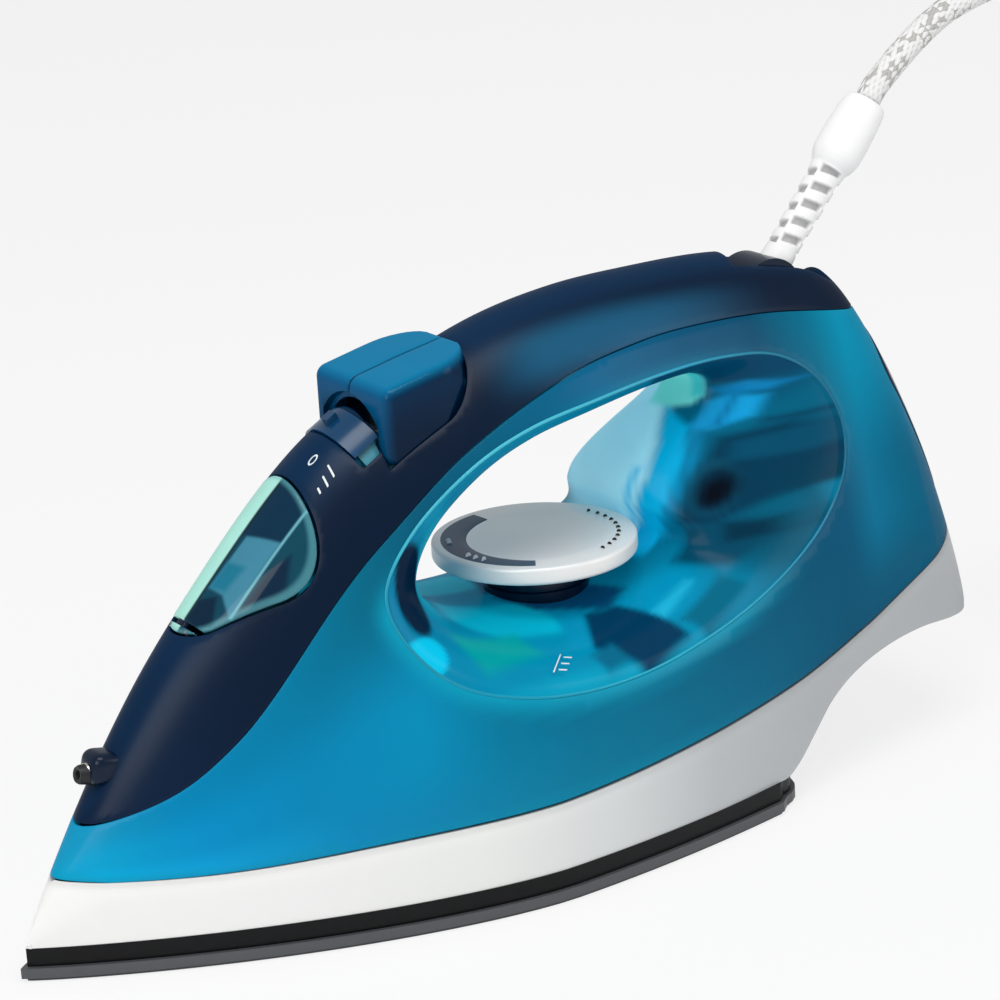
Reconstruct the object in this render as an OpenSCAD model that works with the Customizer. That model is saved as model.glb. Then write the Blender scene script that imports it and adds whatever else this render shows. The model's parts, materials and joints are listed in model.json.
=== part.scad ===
// Steam iron: soleplate with heater, three-part housing with a handle opening, tank,
// spray and steam pumps, steam control, thermostat dial and swivelling mains lead.
// The nose points along -X, the heel along +X, and the soleplate rests on z = 0.

/* [Soleplate] */
// Length of the soleplate, nose to rear edge
sole_l = 221; // [190:1:265]
// Width of the soleplate at its widest
sole_w = 107; // [92:1:126]
// Thickness of the coated soleplate
sole_t = 3.8; // [3:0.1:5]
// Radius of the soleplate's rear corners
sole_corner_r = 12; // [8:1:18]
// Height of the cast block that holds the heater
casting_h = 8.2; // [7.8:0.1:10]
// Height of the black heat band round the casting
band_h = 5; // [4:0.1:7]
// Radius of the steam vents
vent_r = 1.5; // [1:0.1:2]
// Distance from the rim to the row of steam vents
vent_inset = 14; // [13:0.5:16]

/* [Heater] */
// Diameter of the tubular heating element
element_d = 6.4; // [5:0.1:7]
// Distance of each element leg from the centre line
element_y = 26; // [24:0.5:28]
// Diameter of the thermostat body
thermostat_d = 22; // [16:1:26]
// Height of the thermostat body
thermostat_h = 12; // [8:1:16]

/* [Housing] */
// How far the heel reaches behind the soleplate
heel_over = 79; // [66:1:95]
// Height of the handle above the ironing board
body_h = 148.4; // [130:0.2:178]
// Wall thickness of the housing mouldings
wall = 2.2; // [1.8:0.1:2.6]
// Width of the parting lines between mouldings
part_gap = 0.2; // [0.1:0.05:0.3]

/* [Dial] */
// Diameter of the temperature dial
dial_d = 56; // [46:0.5:57]
// Thickness of the dial's rim
dial_t = 5; // [4:0.1:6]
// Diameter of the dial shaft
dial_shaft_d = 6; // [4:0.1:8]
// Diameter of the collar under the dial
collar_d = 29; // [24:0.5:34]

/* [Buttons and pumps] */
// Width of each of the two buttons
button_w = 17.6; // [14:0.1:18]
// Travel of a button
button_travel = 3.6; // [3:0.1:4.5]
// Wall thickness of a button cap
button_wall = 1.6; // [1.2:0.1:2]
// Outside diameter of a pump barrel
pump_d = 10; // [9:0.1:12]
// Diameter of a pump's piston
piston_d = 7.2; // [6:0.1:7.6]
// Diameter of a piston rod
rod_d = 3; // [2:0.1:4]
// Radial running clearance of rods, pistons and shafts
run_gap = 0.05; // [0.02:0.01:0.1]

/* [Steam control] */
// Outside radius of the steam control's ring
control_r = 15.4; // [14.6:0.1:16]
// Length of the ring along its axis
control_l = 8.6; // [6:0.1:9]
// Half of the angle that the ring covers
control_half_angle = 52; // [40:1:56]
// Angle that the ring turns
control_turn = 40; // [20:1:44]
// Diameter of the steam valve rod
valve_rod_d = 3.2; // [2.4:0.1:4]

/* [Filling door] */
// Thickness of the filling door
door_t = 1.8; // [1.4:0.1:2.4]
// Gap round the filling door
door_gap = 0.5; // [0.3:0.1:0.8]

/* [Mains lead] */
// Diameter of the woven mains lead
cord_d = 7.5; // [6:0.1:8]
// Distance from the swivel's centre to the strain relief's end
relief_reach = 63; // [56:1:66]
// Radius of the strain relief's bulb
bulb_r = 7.4; // [6:0.1:8.4]
// Radius of the swivel drum
swivel_r = 11; // [10:0.1:12]
// Angle of the strain relief above the level, at rest
relief_angle = 49; // [45:1:55]

/* [Hidden] */

$fn = 48;
eps = 0.01;
far = 400; // longer than any piece, for cutting tools

band_top = sole_t + band_h;
casting_top = sole_t + casting_h;
body_l = sole_l + heel_over;

// The outlines below are drawn for a soleplate of 221 x 107 and a body 148.4 high with a
// heel of 79, and these functions stretch them to the sizes above.
function px(x) = x <= 221 ? x * sole_l / 221 : sole_l + (x - 221) * heel_over / 79;
function py(y) = y * sole_w / 107;
function pz(z) = band_top + (z - 8.8) * (body_h - band_top) / 139.6;
function fit_xz(p) = [for (q = p) [px(q.x), pz(q.y)]];

// A smooth curve through points [x, value], read at x
function slope_at(p, i) =
    let (a = max(i - 1, 0), b = min(i + 1, len(p) - 1))
    (p[b].y - p[a].y) / (p[b].x - p[a].x);
function span_at(p, x, i = 0) = i >= len(p) - 2 || x < p[i + 1].x ? i : span_at(p, x, i + 1);
function curve(p, x) =
    let (
        q = min(max(x, p[0].x), p[len(p) - 1].x),
        i = span_at(p, q),
        h = p[i + 1].x - p[i].x,
        t = (q - p[i].x) / h
    )
    (2 * t ^ 3 - 3 * t ^ 2 + 1) * p[i].y + (t ^ 3 - 2 * t ^ 2 + t) * h * slope_at(p, i)
    + (3 * t ^ 2 - 2 * t ^ 3) * p[i + 1].y + (t ^ 3 - t ^ 2) * h * slope_at(p, i + 1);
function steepness(p, x) = (curve(p, x + 0.5) - curve(p, x - 0.5));

// Side outlines of the housing, [x from the nose, height]
top_line = fit_xz([
    [2, 10], [11, 25.5], [19, 38], [31, 56], [45, 74], [62, 92], [83, 112], [100, 124.5],
    [125, 136], [150, 144.3], [175, 148], [200, 148.4], [225, 147.4], [245, 144], [258, 139.5],
    [268, 131], [278, 110], [289, 82], [297, 58], [300, 46]
]);
under_line = fit_xz([
    [0, 8.8], [212, 8.8], [218, 12], [224, 18], [232, 26], [242, 31.5], [255, 35],
    [270, 36], [285, 34.5], [296, 34.5], [300, 40]
]);
skirt_seam = fit_xz([
    [0, 26], [45, 24.4], [90, 26.2], [145, 27.6], [197, 32.2], [222, 35.8], [247, 43],
    [264, 49.5], [282, 56], [300, 61]
]);
cover_seam = fit_xz([
    [0, 36.5], [19, 38.3], [31, 41.5], [41, 45.7], [50, 51.5], [62, 61.6], [86, 87], [100, 99],
    [128, 117], [162, 129.5], [188, 133.5], [210, 133.7], [235, 131.7], [268, 125.5], [300, 119]
]);
heel_width = [
    [px(200), py(46.2)], [px(221), py(43)], [px(240), py(40)], [px(260), py(37)],
    [px(278), py(33.6)], [px(290), py(29.5)], [px(297), py(22)], [px(300), py(10)]
];

// Half width of the soleplate's outline at x: a pointed nose and a gently narrowing rear
sole_wide_x = 0.61 * sole_l;
function sole_half(x) =
    x < sole_wide_x
    ? sole_w / 2 * max(1 - abs(1 - x / sole_wide_x) ^ 1.54, 0) ^ 0.926
    : sole_w / 2 * (1 - 0.16 * ((x - sole_wide_x) / (sole_l - sole_wide_x)) ^ 2);
skirt_inset = 1.6;
function base_half(x) = x < px(200) ? max(sole_half(x) - skirt_inset, 0.3) : curve(heel_width, x);
// How wide a cross-section is at the share t of its height: full below, a handle above
function section_share(t) = sqrt(max(1 - t ^ 10, 0)) * (1 - 0.66 * t ^ 1.3);
// Half width of the housing at x and height z, inside a wall of thickness o
function roof(x, o) = curve(top_line, x) - o * norm([1, min(abs(steepness(top_line, x)), 4)]);
function full_below(x, o) = let (r = roof(x, o)) min(curve(skirt_seam, x) - 4, band_top + 0.4 * (r - band_top));
function half_width(x, z, o = 0) =
    let (low = full_below(x, o))
    max(base_half(x) - o, 0.1) * section_share(min(max((z - low) / (roof(x, o) - low), 0), 1));

// Points of the soleplate's outline, moved in by o, with round rear corners
function edge_point(x, o) =
    let (m = sole_half(x + 0.5) - sole_half(x - 0.5), s = norm([1, m]))
    [x + o * m / s, sole_half(x) - o / s];
sole_steps = 44;
function half_outline(o) = [
    [o * 1.66, 0],
    for (i = [1:sole_steps])
        let (q = edge_point((sole_l - sole_corner_r) * (i / sole_steps) ^ 1.5, o))
        if (q.y > 0.4) q,
    for (a = [75:-15:0])
        [sole_l - sole_corner_r, sole_half(sole_l) - sole_corner_r]
        + (sole_corner_r - o) * [cos(a), sin(a)]
];
function mirrored(p) = [for (q = p) q, for (i = [len(p) - 1:-1:1]) [p[i].x, -p[i].y]];
module sole_outline(o) { polygon(mirrored(half_outline(o))); }

// The housing as one solid: cross-sections along X, moved in by o
section_shares = [0, 0.14, 0.28, 0.42, 0.56, 0.68, 0.78, 0.87, 0.93, 0.97, 0.992];
loft_steps = 24;
function loft_share(i) = i / loft_steps - 0.07 * sin(360 * i / loft_steps);
function loft_floor(x, o) =
    o == 0 ? max(curve(under_line, x), band_top)
    : x < sole_l - 8 ? -1
    : curve(under_line, x) + o * norm([1, steepness(under_line, x)]);
function loft_ring(x, o) =
    let (
        low = loft_floor(x, o),
        high = max(roof(x, o), low + 0.5),
        side = [for (s = section_shares) let (z = low + (high - low) * s) [half_width(x, z, o), z]]
    )
    [for (q = side) [x, -q.x, q.y], [x, 0, high], for (i = [len(side) - 1:-1:0]) [x, side[i].x, side[i].y]];
// Faces of a solid made of rings of n points, closed at both ends
function tube_faces(rings, n) = concat(
    [[for (j = [n - 1:-1:0]) j]],
    [for (i = [0:rings - 2]) for (j = [0:n - 1]) let (a = i * n + j, b = i * n + (j + 1) % n)
        each [[a, b, a + n], [b, b + n, a + n]]],
    [[for (j = [0:n - 1]) (rings - 1) * n + j]]
);
function turned(faces) = [for (f = faces) [for (i = [len(f) - 1:-1:0]) f[i]]];
module loft(o = 0) {
    from = 2.5 + 2.4 * o;
    to = body_l - o;
    n = 2 * len(section_shares) + 1;
    points = [for (i = [0:loft_steps]) each loft_ring(from + (to - from) * loft_share(i), o)];
    polyhedron(points, tube_faces(loft_steps + 1, n), convexity = 6);
}

// The handle opening: inner is its narrowest outline on the centre plane, rim its edge on
// the two flanks, and the wall between them is rounded
opening_inner = fit_xz([
    [118, 84], [124, 96], [137, 106], [152, 112], [170, 115.5], [188, 118], [203, 118.5],
    [211, 116], [208, 110], [199, 101], [192, 92], [191, 85], [194, 76], [180, 69], [163, 66.5],
    [145, 67], [130, 70], [121, 76]
]);
opening_rim = fit_xz([
    [98, 87], [109, 101], [128, 113], [147, 119.5], [168, 122.5], [190, 124.5], [212, 124.5],
    [231, 121.5], [244, 113], [250, 100], [247, 86], [234, 73], [212, 62.5], [185, 56],
    [160, 53], [135, 54.5], [113, 61], [101, 73]
]);
function around(p, i) = p[(i + len(p)) % len(p)];
// A closed smooth curve through p, read at t from 0 to len(p), moved out by o
function loop_point(p, t) =
    let (i = floor(t), u = t - i, a = around(p, i - 1), b = around(p, i), c = around(p, i + 1), d = around(p, i + 2))
    0.5 * (2 * b + (c - a) * u + (2 * a - 5 * b + 4 * c - d) * u ^ 2 + (3 * b - a - 3 * c + d) * u ^ 3);
function loop_out(p, t, o) =
    let (m = loop_point(p, t + 0.2) - loop_point(p, t - 0.2 + len(p)), s = norm(m))
    loop_point(p, t) + o * [-m.y, m.x] / s;
opening_turns = 36;
opening_bands = 4;
function opening_ring(a, o) = [
    for (i = [0:opening_turns - 1])
        let (
            t = i * len(opening_rim) / opening_turns,
            inner = loop_out(opening_inner, t, o),
            rim = loop_out(opening_rim, t, o),
            q = inner + (rim - inner) * (1 - cos(a)),
            r = loop_point(opening_rim, t)
        )
        [q.x, half_width(r.x, r.y) * sin(a), q.y]
];
function opening_mouth(side, o) = [
    for (i = [0:opening_turns - 1])
        let (t = i * len(opening_rim) / opening_turns, q = loop_out(opening_rim, t, o + 3))
        [q.x, side * far / 4, q.y]
];
module opening(o = 0) {
    angles = [for (i = [-opening_bands:opening_bands]) 90 * i / opening_bands];
    points = concat(opening_mouth(-1, o), [for (a = angles) each opening_ring(a, o)], opening_mouth(1, o));
    polyhedron(points, turned(tube_faces(len(angles) + 2, opening_turns)), convexity = 6);
}

// A region of the side view, cut right through the housing
module side_cut(points, width = far) {
    rotate([90, 0, 0]) linear_extrude(width, center = true) polygon(points);
}
seam_steps = 23;
function seam_points(p, from, to, lift = 0) =
    [for (i = [0:seam_steps]) let (x = from + (to - from) * i / seam_steps) [x, curve(p, x) + lift]];
module below(p, lift) {
    side_cut(concat(seam_points(p, -5, body_l + 5, lift), [[body_l + 5, -5], [-5, -5]]));
}
module above(p, lift) {
    side_cut(concat(seam_points(p, -5, body_l + 5, lift), [[body_l + 5, far], [-5, far]]));
}
module place() { translate([-body_l / 2, 0, 0]) children(); }
// A freely curved moulding as one fine mesh, at its own size
module moulding() { resize([0, 0, 0]) children(); }
module shell() {
    difference() {
        loft(0);
        loft(wall);
    }
}

// Points of the front slope, where the filling door, steam control and buttons sit
function crest(x) = [px(x), curve(top_line, px(x))];
function rise(a, b) = atan2(b.y - a.y, b.x - a.x);
// Puts children at a point of the side view, with X up the slope and Z away from the housing
module on_slope(at, angle) {
    translate([at.x, 0, at.y]) rotate([0, -angle, 0]) children();
}
door_low = crest(49);
door_high = crest(87);
door_angle = rise(door_low, door_high);
door_l = norm(door_high - door_low);
door_half_w = py(19);
control_low = crest(98);
control_high = crest(107);
control_angle = rise(control_low, control_high);
control_top = (control_low + control_high) / 2;
control_proud = 0.6; // how far the ring stands out of the cover
control_centre = control_top + (control_r - control_proud) * [sin(control_angle), -cos(control_angle)];
control_wall = 2;
track_in_r = control_r - control_wall - 2;

/* Buttons: side profile, from the front face to the rear seam */
button_profile = fit_xz([
    [108, 121], [108, 134.6], [110, 136.3], [124, 138.6], [137.5, 140.9], [137, 136],
    [133, 130.5], [127, 126], [118, 122.5]
]);
button_gap = 0.4;
button_y = button_w / 2 + 0.15;
pump_x = px(121);
steam_tube_x = px(111);
tube_r = 1.6;
pump_y = 7.6;
pump_base = pz(103.5);
pump_top = pz(119);
rod_top = pz(133);
piston_top = pump_top - 3.4;
piston_l = 5;
button_roof = pz(135.5);

rear_panel_w = py(34);
rear_panel_low = pz(66);
rear_panel_high = pz(120);
dial_x = px(163);
collar_base = pz(62);
dial_base = pz(75.6);
shaft_base = casting_top + thermostat_h;
valve_x = px(104);
tank_z = pz(33);
shield_z = casting_top + 3.2;
swivel = [px(242), pz(132.6)];
swivel_w = 13;
relief_end = relief_reach - 0.3; // short of the lead, so that the relief can swing
nozzle_at = [px(22.8), pz(50.5)];
nozzle_l = 13;
sole_screw_xs = [px(68), sole_l - 30];
housing_screw_at = [px(264), py(20)];
rear_screw_z = rear_panel_low + 6;

// ---- Soleplate and heater ----
vent_xs = [for (i = [0:9]) px(36 + 15 * i)];
module at_vents() {
    for (x = vent_xs, s = [-1, 1])
        translate([x, s * max(sole_half(x) - vent_inset, 3), 0]) children();
}
module soleplate() {
    color([0.36, 0.37, 0.39]) place() difference() {
        union() {
            translate([0, 0, 1]) linear_extrude(sole_t - 1) sole_outline(0);
            linear_extrude(1) sole_outline(1);
        }
        at_vents() translate([0, 0, -1]) cylinder(h = sole_t + 2, r = vent_r);
    }
}

casting_inset = 7;
element_z = casting_top - element_d / 2 - 0.3;
bend_x = px(95);
element_end = sole_l - 24;
module element_path(r, end) {
    translate([bend_x, 0, 0]) rotate([0, 0, 90]) rotate_extrude(angle = 180) translate([element_y, 0]) circle(r);
    for (s = [-1, 1]) translate([bend_x, s * element_y, 0]) rotate([0, 90, 0]) cylinder(h = end - bend_x, r = r);
}
module element_channel(w, h, end) {
    translate([bend_x, 0, 0]) rotate([0, 0, 90]) rotate_extrude(angle = 180)
        translate([element_y - w / 2, 0]) square([w, h]);
    for (s = [-1, 1]) translate([bend_x, s * element_y - w / 2, 0]) cube([end - bend_x, w, h]);
}
chamber_end = dial_x - thermostat_d / 2 - 4;
module chamber_plan(r) {
    translate([bend_x, 0]) circle(r);
    translate([bend_x, -r]) square([chamber_end - bend_x, 2 * r]);
}
chamber_r = element_y - element_d / 2 - 4;
module sole_casting() {
    color([0.72, 0.72, 0.73]) place() difference() {
        translate([0, 0, sole_t]) linear_extrude(casting_h) sole_outline(casting_inset);
        translate([0, 0, element_z - element_d / 2 - 0.1])
            element_channel(element_d + 0.2, far, sole_l);
        translate([0, 0, sole_t + 3]) linear_extrude(far) chamber_plan(chamber_r);
        at_vents() translate([0, 0, 1]) cylinder(h = casting_top - 3, r = vent_r + 0.7);
    }
}
module chamber_cover() {
    color([0.6, 0.6, 0.62]) place() translate([0, 0, casting_top]) difference() {
        linear_extrude(1.2) chamber_plan(chamber_r + 2);
        translate([valve_x, 0, -1]) cylinder(h = 4, r = 2);
        translate([steam_tube_x, pump_y, -1]) cylinder(h = 4, r = tube_r - 0.4);
    }
}
module heating_element() {
    color([0.5, 0.5, 0.52]) place() translate([0, 0, element_z]) element_path(element_d / 2, element_end);
}
module element_terminals() {
    color([0.75, 0.7, 0.5]) place() for (s = [-1, 1]) translate([element_end, s * element_y, element_z]) {
        rotate([0, 90, 0]) cylinder(h = 9, r = 1.6);
        translate([7, 0, 0]) cylinder(h = 9, r = 1.2);
    }
}
module thermostat() {
    color([0.82, 0.8, 0.74]) place() translate([dial_x, 0, casting_top]) difference() {
        union() {
            cylinder(h = thermostat_h, r = thermostat_d / 2);
            translate([thermostat_d / 2 - 3, -4, 0]) cube([12, 8, 2]);
        }
        translate([0, 0, thermostat_h - 5]) cylinder(h = 6, r = dial_shaft_d / 2 + run_gap);
    }
}
module thermal_fuse() {
    color([0.88, 0.88, 0.84]) place() translate([dial_x + 16, 12, casting_top + 2.2])
        rotate([0, 90, 0]) cylinder(h = 16, r = 2.2);
}
module heat_band() {
    color([0.05, 0.05, 0.06]) place() translate([0, 0, sole_t]) difference() {
        linear_extrude(band_h) sole_outline(1.2);
        translate([0, 0, -1]) linear_extrude(band_h + 2) sole_outline(casting_inset - 0.4);
    }
}
shield_gap = 0.3;
shield_t = 1.2;
module heat_shield() {
    half = [for (i = [0:24]) let (x = px(16) + (sole_l - 12 - px(16)) * i / 24) [x, base_half(x) - wall - shield_gap - 0.2]];
    color([0.25, 0.25, 0.26]) place() translate([0, 0, shield_z]) difference() {
        linear_extrude(shield_t) polygon(concat(half, [for (i = [24:-1:0]) [half[i].x, -half[i].y]]));
        translate([dial_x, 0, -1]) cylinder(h = 4, r = thermostat_d / 2 + 1);
        translate([valve_x, 0, -1]) cylinder(h = 4, r = 4.8);
        translate([steam_tube_x, pump_y, -1]) cylinder(h = 4, r = tube_r + 1);
        for (s = [-1, 1]) translate([element_end + 7, s * element_y, -1]) cylinder(h = 4, r = 3);
        for (x = sole_screw_xs) translate([x, 0, -1]) cylinder(h = 4, r = 2.2);
        translate([dial_x + 15, 9, -1]) cube([18, 6, 4]);
    }
}

// ---- Housing ----
module at_housing_screws() {
    for (s = [-1, 1])
        translate([housing_screw_at.x, s * housing_screw_at.y, curve(under_line, housing_screw_at.x)]) children();
}
module skirt() {
    color([0.82, 0.83, 0.84]) place() moulding() difference() {
        intersection() {
            shell();
            below(skirt_seam, -part_gap / 2);
        }
        at_housing_screws() translate([0, 0, -5]) cylinder(h = 20, r = 1.8);
    }
}
module rear_panel_zone(o) {
    translate([px(262), -rear_panel_w / 2 - o, rear_panel_low - o])
        cube([60, rear_panel_w + 2 * o, rear_panel_high - rear_panel_low + 2 * o]);
}
module body_shell() {
    color([0.0, 0.42, 0.62, 0.75]) place() moulding() difference() {
        intersection() {
            loft(0);
            above(skirt_seam, part_gap / 2);
            below(cover_seam, -part_gap / 2);
        }
        difference() {
            loft(wall);
            opening(wall);
        }
        opening(0);
        rear_panel_zone(part_gap);
        translate([dial_x, 0, collar_base - 2]) cylinder(h = 30, r = collar_d / 2 + 0.1);
        translate([lamp_at.x, 0, lamp_at.y - 6]) cylinder(h = 16, r = lens_r + 0.1);
    }
}
// The x of the housing's rear face at height z, by halving
function rear_x(z, a, b, n = 20) =
    n == 0 ? a : let (m = (a + b) / 2) curve(top_line, m) > z ? rear_x(z, m, b, n - 1) : rear_x(z, a, m, n - 1);
rear_screw_x = rear_x(rear_screw_z, px(262), px(300)) - 3.2;
module rear_cover() {
    color([0.0, 0.2, 0.32]) place() moulding() difference() {
        intersection() {
            shell();
            rear_panel_zone(0);
        }
        translate([rear_screw_x - 20, 0, rear_screw_z]) rotate([0, 90, 0]) cylinder(h = 30, r = 1.9);
        translate([rear_screw_x, 0, rear_screw_z]) rotate([0, 90, 0]) cylinder(h = 30, r = 3.5);
    }
}
module door_outline(o) {
    hull() {
        translate([9 - o / 2, 0]) circle(5 + o, $fn = 32);
        translate([door_l - door_half_w - 1, 0]) circle(door_half_w + o, $fn = 48);
    }
}
module door_prism(o, h = 60) {
    on_slope(door_low, door_angle) translate([0, 0, -h / 2]) linear_extrude(h) door_outline(o);
}
module control_sector(r_in, r_out, half_l, half_angle) {
    on_slope(control_centre, control_angle) rotate([90, 0, 90]) translate([0, 0, -half_l])
        rotate([0, 0, 90 - half_angle]) rotate_extrude(angle = 2 * half_angle)
            translate([r_in, 0]) square([r_out - r_in, 2 * half_l]);
}
module button_block(o, drop) {
    hull() for (down = [0, drop]) translate([0, 0, -down]) rotate([90, 0, 0])
        linear_extrude(2 * (button_w + 0.3 + o), center = true) offset(delta = o) polygon(button_profile);
}
module nozzle_block(o) {
    on_slope([nozzle_at.x, nozzle_at.y], 12) translate([-o, -5 - o, -4.5 - o]) cube([nozzle_l + o, 10 + 2 * o, 9 + 2 * o]);
}
module top_cover() {
    color([0.0, 0.1, 0.22]) place() moulding() difference() {
        union() {
            difference() {
                intersection() {
                    shell();
                    above(cover_seam, part_gap / 2);
                }
                door_prism(door_gap);
            }
            hinge_ears();
        }
        at_hinge(20, door_pin_d / 2);
        control_sector(track_in_r - 0.4, control_r + 6, control_l / 2 + 0.3, 86);
        button_block(button_gap, button_travel + 0.5);
        nozzle_block(0.1);
        relief_slot();
    }
}
// Where the strain relief swings through the top of the cover
module relief_slot() {
    translate([swivel.x, 0, swivel.y]) rotate([90, 0, 0]) cylinder(h = swivel_w + 1, r = swivel_r + 0.5, center = true);
    translate([px(229), -swivel_w / 2 - 0.4, swivel.y]) cube([px(263) - px(229), swivel_w + 0.8, 40]);
}
floor_t = 1.6;
module tank_floor() {
    color([0.1, 0.5, 0.66, 0.8]) place() difference() {
        moulding() intersection() {
            loft(wall + 0.4);
            translate([px(34), -far / 2, tank_z]) cube([px(205) - px(34), far, floor_t]);
        }
        translate([dial_x, 0, tank_z - 1]) cylinder(h = 4, r = 7);
        translate([valve_x, 0, tank_z - 1]) cylinder(h = 4, r = 4.6);
        translate([steam_tube_x, pump_y, tank_z - 1]) cylinder(h = 4, r = tube_r + 0.1);
    }
}
module shaft_seal() {
    color([0.1, 0.1, 0.1]) place() translate([dial_x, 0, tank_z - 1]) difference() {
        cylinder(h = floor_t + 2, r = 6.8);
        translate([0, 0, -1]) cylinder(h = 8, r = dial_shaft_d / 2 + run_gap);
    }
}

// ---- Dial ----
module dial() {
    color([0.8, 0.8, 0.79]) place() translate([dial_x, 0, dial_base]) difference() {
        union() {
            cylinder(h = dial_t, r = dial_d / 2);
            translate([0, 0, -3.4]) cylinder(h = 3.5, r = 8);
        }
        translate([0, 0, dial_t - 1]) cylinder(h = 2, r = dial_d / 2 - 6);
        translate([0, 0, -4]) cylinder(h = 6, r = dial_shaft_d / 2);
    }
}
module dial_shaft() {
    color([0.75, 0.75, 0.72]) place() translate([dial_x, 0, shaft_base - 4.5])
        cylinder(h = dial_base + 2 - shaft_base + 4.5, r = dial_shaft_d / 2);
}
module dial_collar() {
    color([0.02, 0.12, 0.25]) place() translate([dial_x, 0, collar_base]) difference() {
        cylinder(h = dial_base - 0.4 - collar_base, r = collar_d / 2);
        translate([0, 0, -1]) cylinder(h = 30, r = dial_shaft_d / 2 + run_gap);
        translate([0, 0, dial_base - collar_base - 4]) cylinder(h = 20, r = 8.5);
        translate([0, 0, -1]) difference() {
            cylinder(h = dial_base - collar_base - 6, r = collar_d / 2 - 2);
            cylinder(h = 40, r = dial_shaft_d / 2 + 2);
        }
    }
}

// ---- Filling door ----
door_pin_d = 1.4;
door_pin_at = [5.4, -0.9]; // up the slope and below it, from the low end of the door's opening
knuckle_r = 1.3;
knuckle_w = 4.4;
ear_w = 1.6;
// Puts a bar across the slope at the door's hinge
module at_hinge(w, r) {
    on_slope(door_low, door_angle) translate([door_pin_at.x, 0, door_pin_at.y])
        rotate([90, 0, 0]) cylinder(h = w, r = r, center = true);
}
module hinge_ears() {
    for (s = [-1, 1]) on_slope(door_low, door_angle)
        translate([0, s * (knuckle_w / 2 + 0.3 + ear_w / 2), door_pin_at.y]) {
            translate([door_pin_at.x, 0, 0]) rotate([90, 0, 0]) cylinder(h = ear_w, r = knuckle_r, center = true);
            translate([1.4, -ear_w / 2, -knuckle_r]) cube([door_pin_at.x - 1.4, ear_w, knuckle_r + 0.8]);
        }
}
module fill_door() {
    color([0.1, 0.4, 0.45, 0.7]) place() difference() {
        union() {
            moulding() intersection() {
                difference() {
                    loft(0);
                    loft(door_t);
                }
                difference() {
                    door_prism(0);
                    on_slope(door_low, door_angle) translate([-10, -4.4, -10]) cube([17.2, 8.8, 20]);
                }
            }
            at_hinge(knuckle_w, knuckle_r);
            on_slope(door_low, door_angle) translate([door_pin_at.x, -knuckle_w / 2, -1.5]) cube([3.2, knuckle_w, 1.2]);
        }
        at_hinge(far, door_pin_d / 2 + run_gap);
    }
}
module fill_door_pin() {
    color([0.7, 0.7, 0.7]) place() at_hinge(knuckle_w + 0.6 + 2 * ear_w, door_pin_d / 2);
}
funnel_depth = 15;
module funnel_prism(o, depth) {
    on_slope(door_low, door_angle) translate([door_l / 2 + 3, 0, -depth]) linear_extrude(far)
        scale([door_l / 2 - 9 + o, door_half_w - 4.5 + o]) circle(1);
}
module fill_funnel() {
    color([0.1, 0.45, 0.5, 0.8]) place() moulding() intersection() {
        difference() {
            funnel_prism(0, funnel_depth);
            funnel_prism(-1.2, funnel_depth - 1.2);
            on_slope(door_low, door_angle) translate([door_l / 2 + 6, 0, -funnel_depth - 1]) cylinder(h = 4, r = 4);
        }
        loft(wall + 0.3);
    }
}

// ---- Spray nozzle ----
module spray_nozzle() {
    color([0.0, 0.12, 0.25]) place() difference() {
        nozzle_block(0);
        on_slope(nozzle_at, 12) translate([-1, 0, 0]) rotate([0, 90, 0]) cylinder(h = 8, r = 2.6);
    }
}
module nozzle_tip() {
    color([0.85, 0.85, 0.86]) place() on_slope(nozzle_at, 12) rotate([0, 90, 0]) difference() {
        translate([0, 0, 1]) cylinder(h = 6, r = 2.6);
        translate([0, 0, -1]) cylinder(h = 12, r = 0.6);
    }
}

// ---- Buttons, pumps and pipes ----
module button_cap(side) {
    place() {
        difference() {
            translate([0, side * button_y, 0]) side_cut(button_profile, button_w);
            translate([0, side * button_y, 0]) side_cut([
                [button_profile[0].x + button_wall, pz(100)],
                [button_profile[0].x + button_wall, button_roof],
                [px(128), button_roof],
                [px(128), pz(100)]
            ], button_w - 2 * button_wall);
            // room for the steam control's ring under the caps, pressed or not
            hull() for (rise = [0, button_travel]) translate([0, 0, rise]) on_slope(control_centre, control_angle)
                rotate([0, 90, 0]) translate([0, 0, -20]) cylinder(h = 20 + control_l / 2 + 0.5, r = control_r + 0.5, $fn = 40);
        }
        translate([pump_x, side * pump_y, rod_top - 4]) difference() {
            cylinder(h = button_roof - rod_top + 4.2, r = rod_d / 2 + 1.6);
            translate([0, 0, -1]) cylinder(h = 5, r = rod_d / 2);
        }
    }
}
module pump(side) {
    place() translate([pump_x, side * pump_y, pump_base]) difference() {
        cylinder(h = pump_top - pump_base, r = pump_d / 2);
        translate([0, 0, 1.5]) cylinder(h = far, r = piston_d / 2 + run_gap);
        translate([0, 0, -1]) cylinder(h = 4, r = 1.2);
    }
}
module piston(side) {
    place() translate([pump_x, side * pump_y, 0]) {
        translate([0, 0, piston_top - piston_l]) cylinder(h = piston_l, r = piston_d / 2);
        translate([0, 0, piston_top]) cylinder(h = rod_top - piston_top, r = rod_d / 2);
    }
}
spring_low = pump_top;
spring_high = rod_top - 4;
module pump_spring(side) {
    place() translate([pump_x, side * pump_y, spring_low + 0.1]) difference() {
        cylinder(h = spring_high - spring_low - 0.2, r = rod_d / 2 + 1.5);
        translate([0, 0, -1]) cylinder(h = far, r = rod_d / 2 + 0.3);
    }
}
module spray_button() { color([0.02, 0.26, 0.36]) button_cap(-1); }
module steam_button() { color([0.02, 0.26, 0.36]) button_cap(1); }
module spray_pump() { color([0.85, 0.86, 0.86]) pump(-1); }
module steam_pump() { color([0.85, 0.86, 0.86]) pump(1); }
module spray_piston() { color([0.3, 0.3, 0.32]) piston(-1); }
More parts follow.
